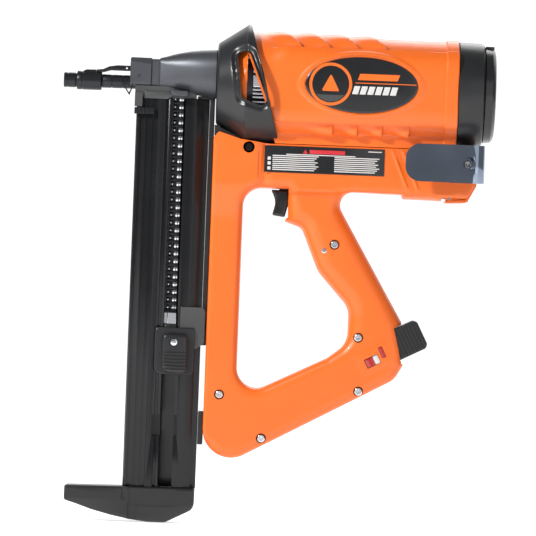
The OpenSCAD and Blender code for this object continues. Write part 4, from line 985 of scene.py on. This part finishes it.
ARM = [(31.2, 8.6, 0), (38, 8.4, 3), (44.5, 10.4, 5), (156.8, 10.35, 0), (156.8, 15.45, 0), (51, 15.5, 6),
       (43, 14.2, 6), (37.5, 11.4, 4), (31.2, 10.9, 0)]
arm = raw("look_contact_arm", *plate(ARM, -4.9, 4.9, 1.1, 3))
tidy(arm.data)
over_tube = lathe([(20, 0), (20, 9.05), (36.6, 9.05), (36.6, 6.55), (120, 6.55), (120, 0)], 64)
cut(arm, along_y(rod(-8, 8, 1, 24), 60, 13), over_tube)
link_piece(arm, "dark_steel", "work_contact", ["contact_arm"])
print("work contact ready")

# %% [markdown]
# ## Strip of pins, head of the magazine and fins
# Through the slot only small windows of bright shank show between dark webs, so the collation is built as a
# ladder.

# %% Pins, collation, magazine head and fins
PITCH, PLACES = 7.4, range(1, 30)
webs = [block((103.9, -2.9, -PITCH * k - 4.9), (116.1, 2.9, -PITCH * k - 2.5), 0.6) for k in PLACES]
bars = [block((x0, -2.75, -216), (x1, 2.75, -4.2), 0.5)
        for x0, x1 in ((103.9, 106.2), (109.2, 110.6), (115.2, 116))]
piece("look_pin_collation", join(*webs, *bars), "collation", "root", ["pin_collation"])
BEAD = [(-3.3, 0), (-3.2, 0.5), (-2.7, 0.88), (-1.7, 1), (1.7, 1), (2.7, 0.88), (3.2, 0.5), (3.3, 0)]
beads = [along_y(lathe([(y, r * share) for y, share in BEAD], 24), x, -PITCH * k)
         for k in PLACES for x, r in ((107.8, 1.5), (112.9, 2.25))]
piece("look_pin_beads", join(*beads), "bright_steel", "root")
edged("fastener_pins", "bright_steel", 0.15)
edged("magazine_head", "zinc_grey", 0.6)
WEDGE = [(78, -15.4, 0.8), (101, -15.4, 0.8), (108.5, -9.6, 2), (106, -8.4, 0.8), (78, -8.4, 0.8)]
piece("look_wedge_plate", plate(WEDGE, -13.7, -12.1, 0.5, 2), "zinc_grey")
edged("magazine_latch", "dark_steel", 0.35)
edged("magazine_bracket", "black_plastic", 0.8)
edged("nose_wire_clip", "dark_steel", 0.25)
door = edged("fuel_door", "orange_shell", 0.6)
skirts = [block((375.5, y0, -103.4), (391, y1, -100.4), 0.8) for y0, y1 in ((-23.5, -21), (21, 23.5))]
cut(door, *skirts, how="UNION")
# The last plate is a black gasket strip along the shroud's lower edge. It also paints the shroud's shadow on the
# top of the handle.
fillers = [block((129.2, -9, -14), (145.8, 9, -11.4), 0.4), block((146.4, -19, -48.6), (151.6, 19, -38.5), 0.6),
           plate([(151, -46, 1), (172.5, -53.4, 1), (174, -50.5, 1), (151, -40, 1)], -19, 19, 0.4, 1)]
piece("look_black_fillers_and_shadow_strip", join(*fillers), "black_plastic")
fins = []
for z in (25.3, 19.1, 12.9, -4.3, -7.9, -11.4, -16, -21):
    fins += [block((181.7, s * 38.5 - 4.5, z - 0.85), (206, s * 38.5 + 4.5, z + 0.85), 0.35) for s in (-1, 1)]
fins += [block((181.7, s * 38 - 3, -1.9), (206, s * 38 + 3, 9.4), 1.2) for s in (-1, 1)]
piece("look_cylinder_fins", join(*fins), "bare_aluminium")
print("strip, head and fins ready")

# %% [markdown]
# ## Everything else
# The remaining parts, mostly inside the housing, keep their CAD shape and only get their finish. The cylinder
# takes the dark cast finish as painted shade: it darkens the deep gaps between the bright fins in front of it,
# so that the fins stand out in the window.

# %% Finish for the remaining parts
DONE = {n for o in bpy.data.objects for n in o.get("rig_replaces", [])}
SLOT = {s["node"]: s["material_slot"] for s in frame["record"]["subparts"]}
# Painted shade: the cylinder gets the dark casting colour so that the gaps between its fins read as deep shadow.
SLOT["drive_cylinder"] = "grey_casting"
for node in sorted(nodes):
    if node in DONE:
        continue
    material = SLOT[node]
    nodes[node].data.materials.clear()
    nodes[node].data.materials.append(M[material])
print("CAD parts shown as they are:", sorted(set(nodes) - DONE))

# %% [markdown]
# ## Stage, light and camera
# A pale sweep under and behind the tool has no horizon line, and glows a little, so it stays pale. A small
# lamp at the upper left draws the ribs, and large weak ones fill the shadows. A very long lens from far away
# keeps the proportions of a side view, and the camera is rolled a little, so the barrel slopes.

# %% Stage and camera
FLOOR_Z, WALL_START, BEND = -0.4213, 5.2, 1.2
sweep = [(-9, 0), (WALL_START, 0)]
sweep += [(WALL_START + BEND * math.sin(t), BEND - BEND * math.cos(t)) for t in map(math.radians, range(6, 90, 6))]
sweep += [(6.4, BEND), (6.4, 5.5)]
verts = [(x, y, z + FLOOR_Z) for x in (-8, 8.4) for y, z in sweep]
floor = bpy.data.meshes.new("floor")
floor.from_pydata(verts, [], [(k, k + len(sweep), k + 1 + len(sweep), k + 1) for k in range(len(sweep) - 1)])
floor.polygons.foreach_set("use_smooth", [True] * len(floor.polygons))
floor = bpy.data.objects.new("floor", floor)
bpy.context.scene.collection.objects.link(floor)
pale = finish("pale_floor", (0.88, 0.88, 0.88), 0.8, grain=60, bump=0.02, dirt=0.01)
glow = next(n for n in pale.node_tree.nodes if n.type == "BSDF_PRINCIPLED")
glow.inputs["Emission Color"].default_value = (1, 1, 1, 1)
glow.inputs["Emission Strength"].default_value = 0.62
floor.data.materials.append(pale)

world = bpy.data.worlds.new("studio")
world.use_nodes = True
world.node_tree.nodes["Background"].inputs["Color"].default_value = (1.0, 1.0, 1.0, 1)
world.node_tree.nodes["Background"].inputs["Strength"].default_value = 0.24
bpy.context.scene.world = world
bpy.context.scene.view_settings.view_transform = "Standard"


MIDDLE = Vector((0.2, 0, -0.17))


def area_light(name, at, size, watts):
    """Square lamp that points at the middle of the tool."""
    light = bpy.data.lights.new(name, "AREA")
    light.size, light.energy = size, watts
    obj = bpy.data.objects.new(name, light)
    bpy.context.scene.collection.objects.link(obj)
    obj.location = at
    obj.rotation_euler = (MIDDLE - Vector(at)).to_track_quat("-Z", "Y").to_euler()


area_light("key", (-1.15, -1.15, 0.95), 0.16, 42)
area_light("fill", (1.2, -1.5, 0.3), 1.4, 4)
area_light("back", (0.4, 1.4, 1.2), 1.2, 12)

camera = bpy.data.cameras.new("camera")
camera.lens, camera.sensor_width = 336, 36
camera = bpy.data.objects.new("camera", camera)
bpy.context.scene.collection.objects.link(camera)
upright_view, roll = Matrix.Rotation(math.radians(90), 4, "X"), Matrix.Rotation(math.radians(2.2), 4, "Z")
camera.matrix_world = Matrix.Translation((0.2026, -4.803, -0.1734)) @ upright_view @ roll
bpy.context.scene.camera = camera
print("camera", tuple(round(c, 3) for c in camera.location))
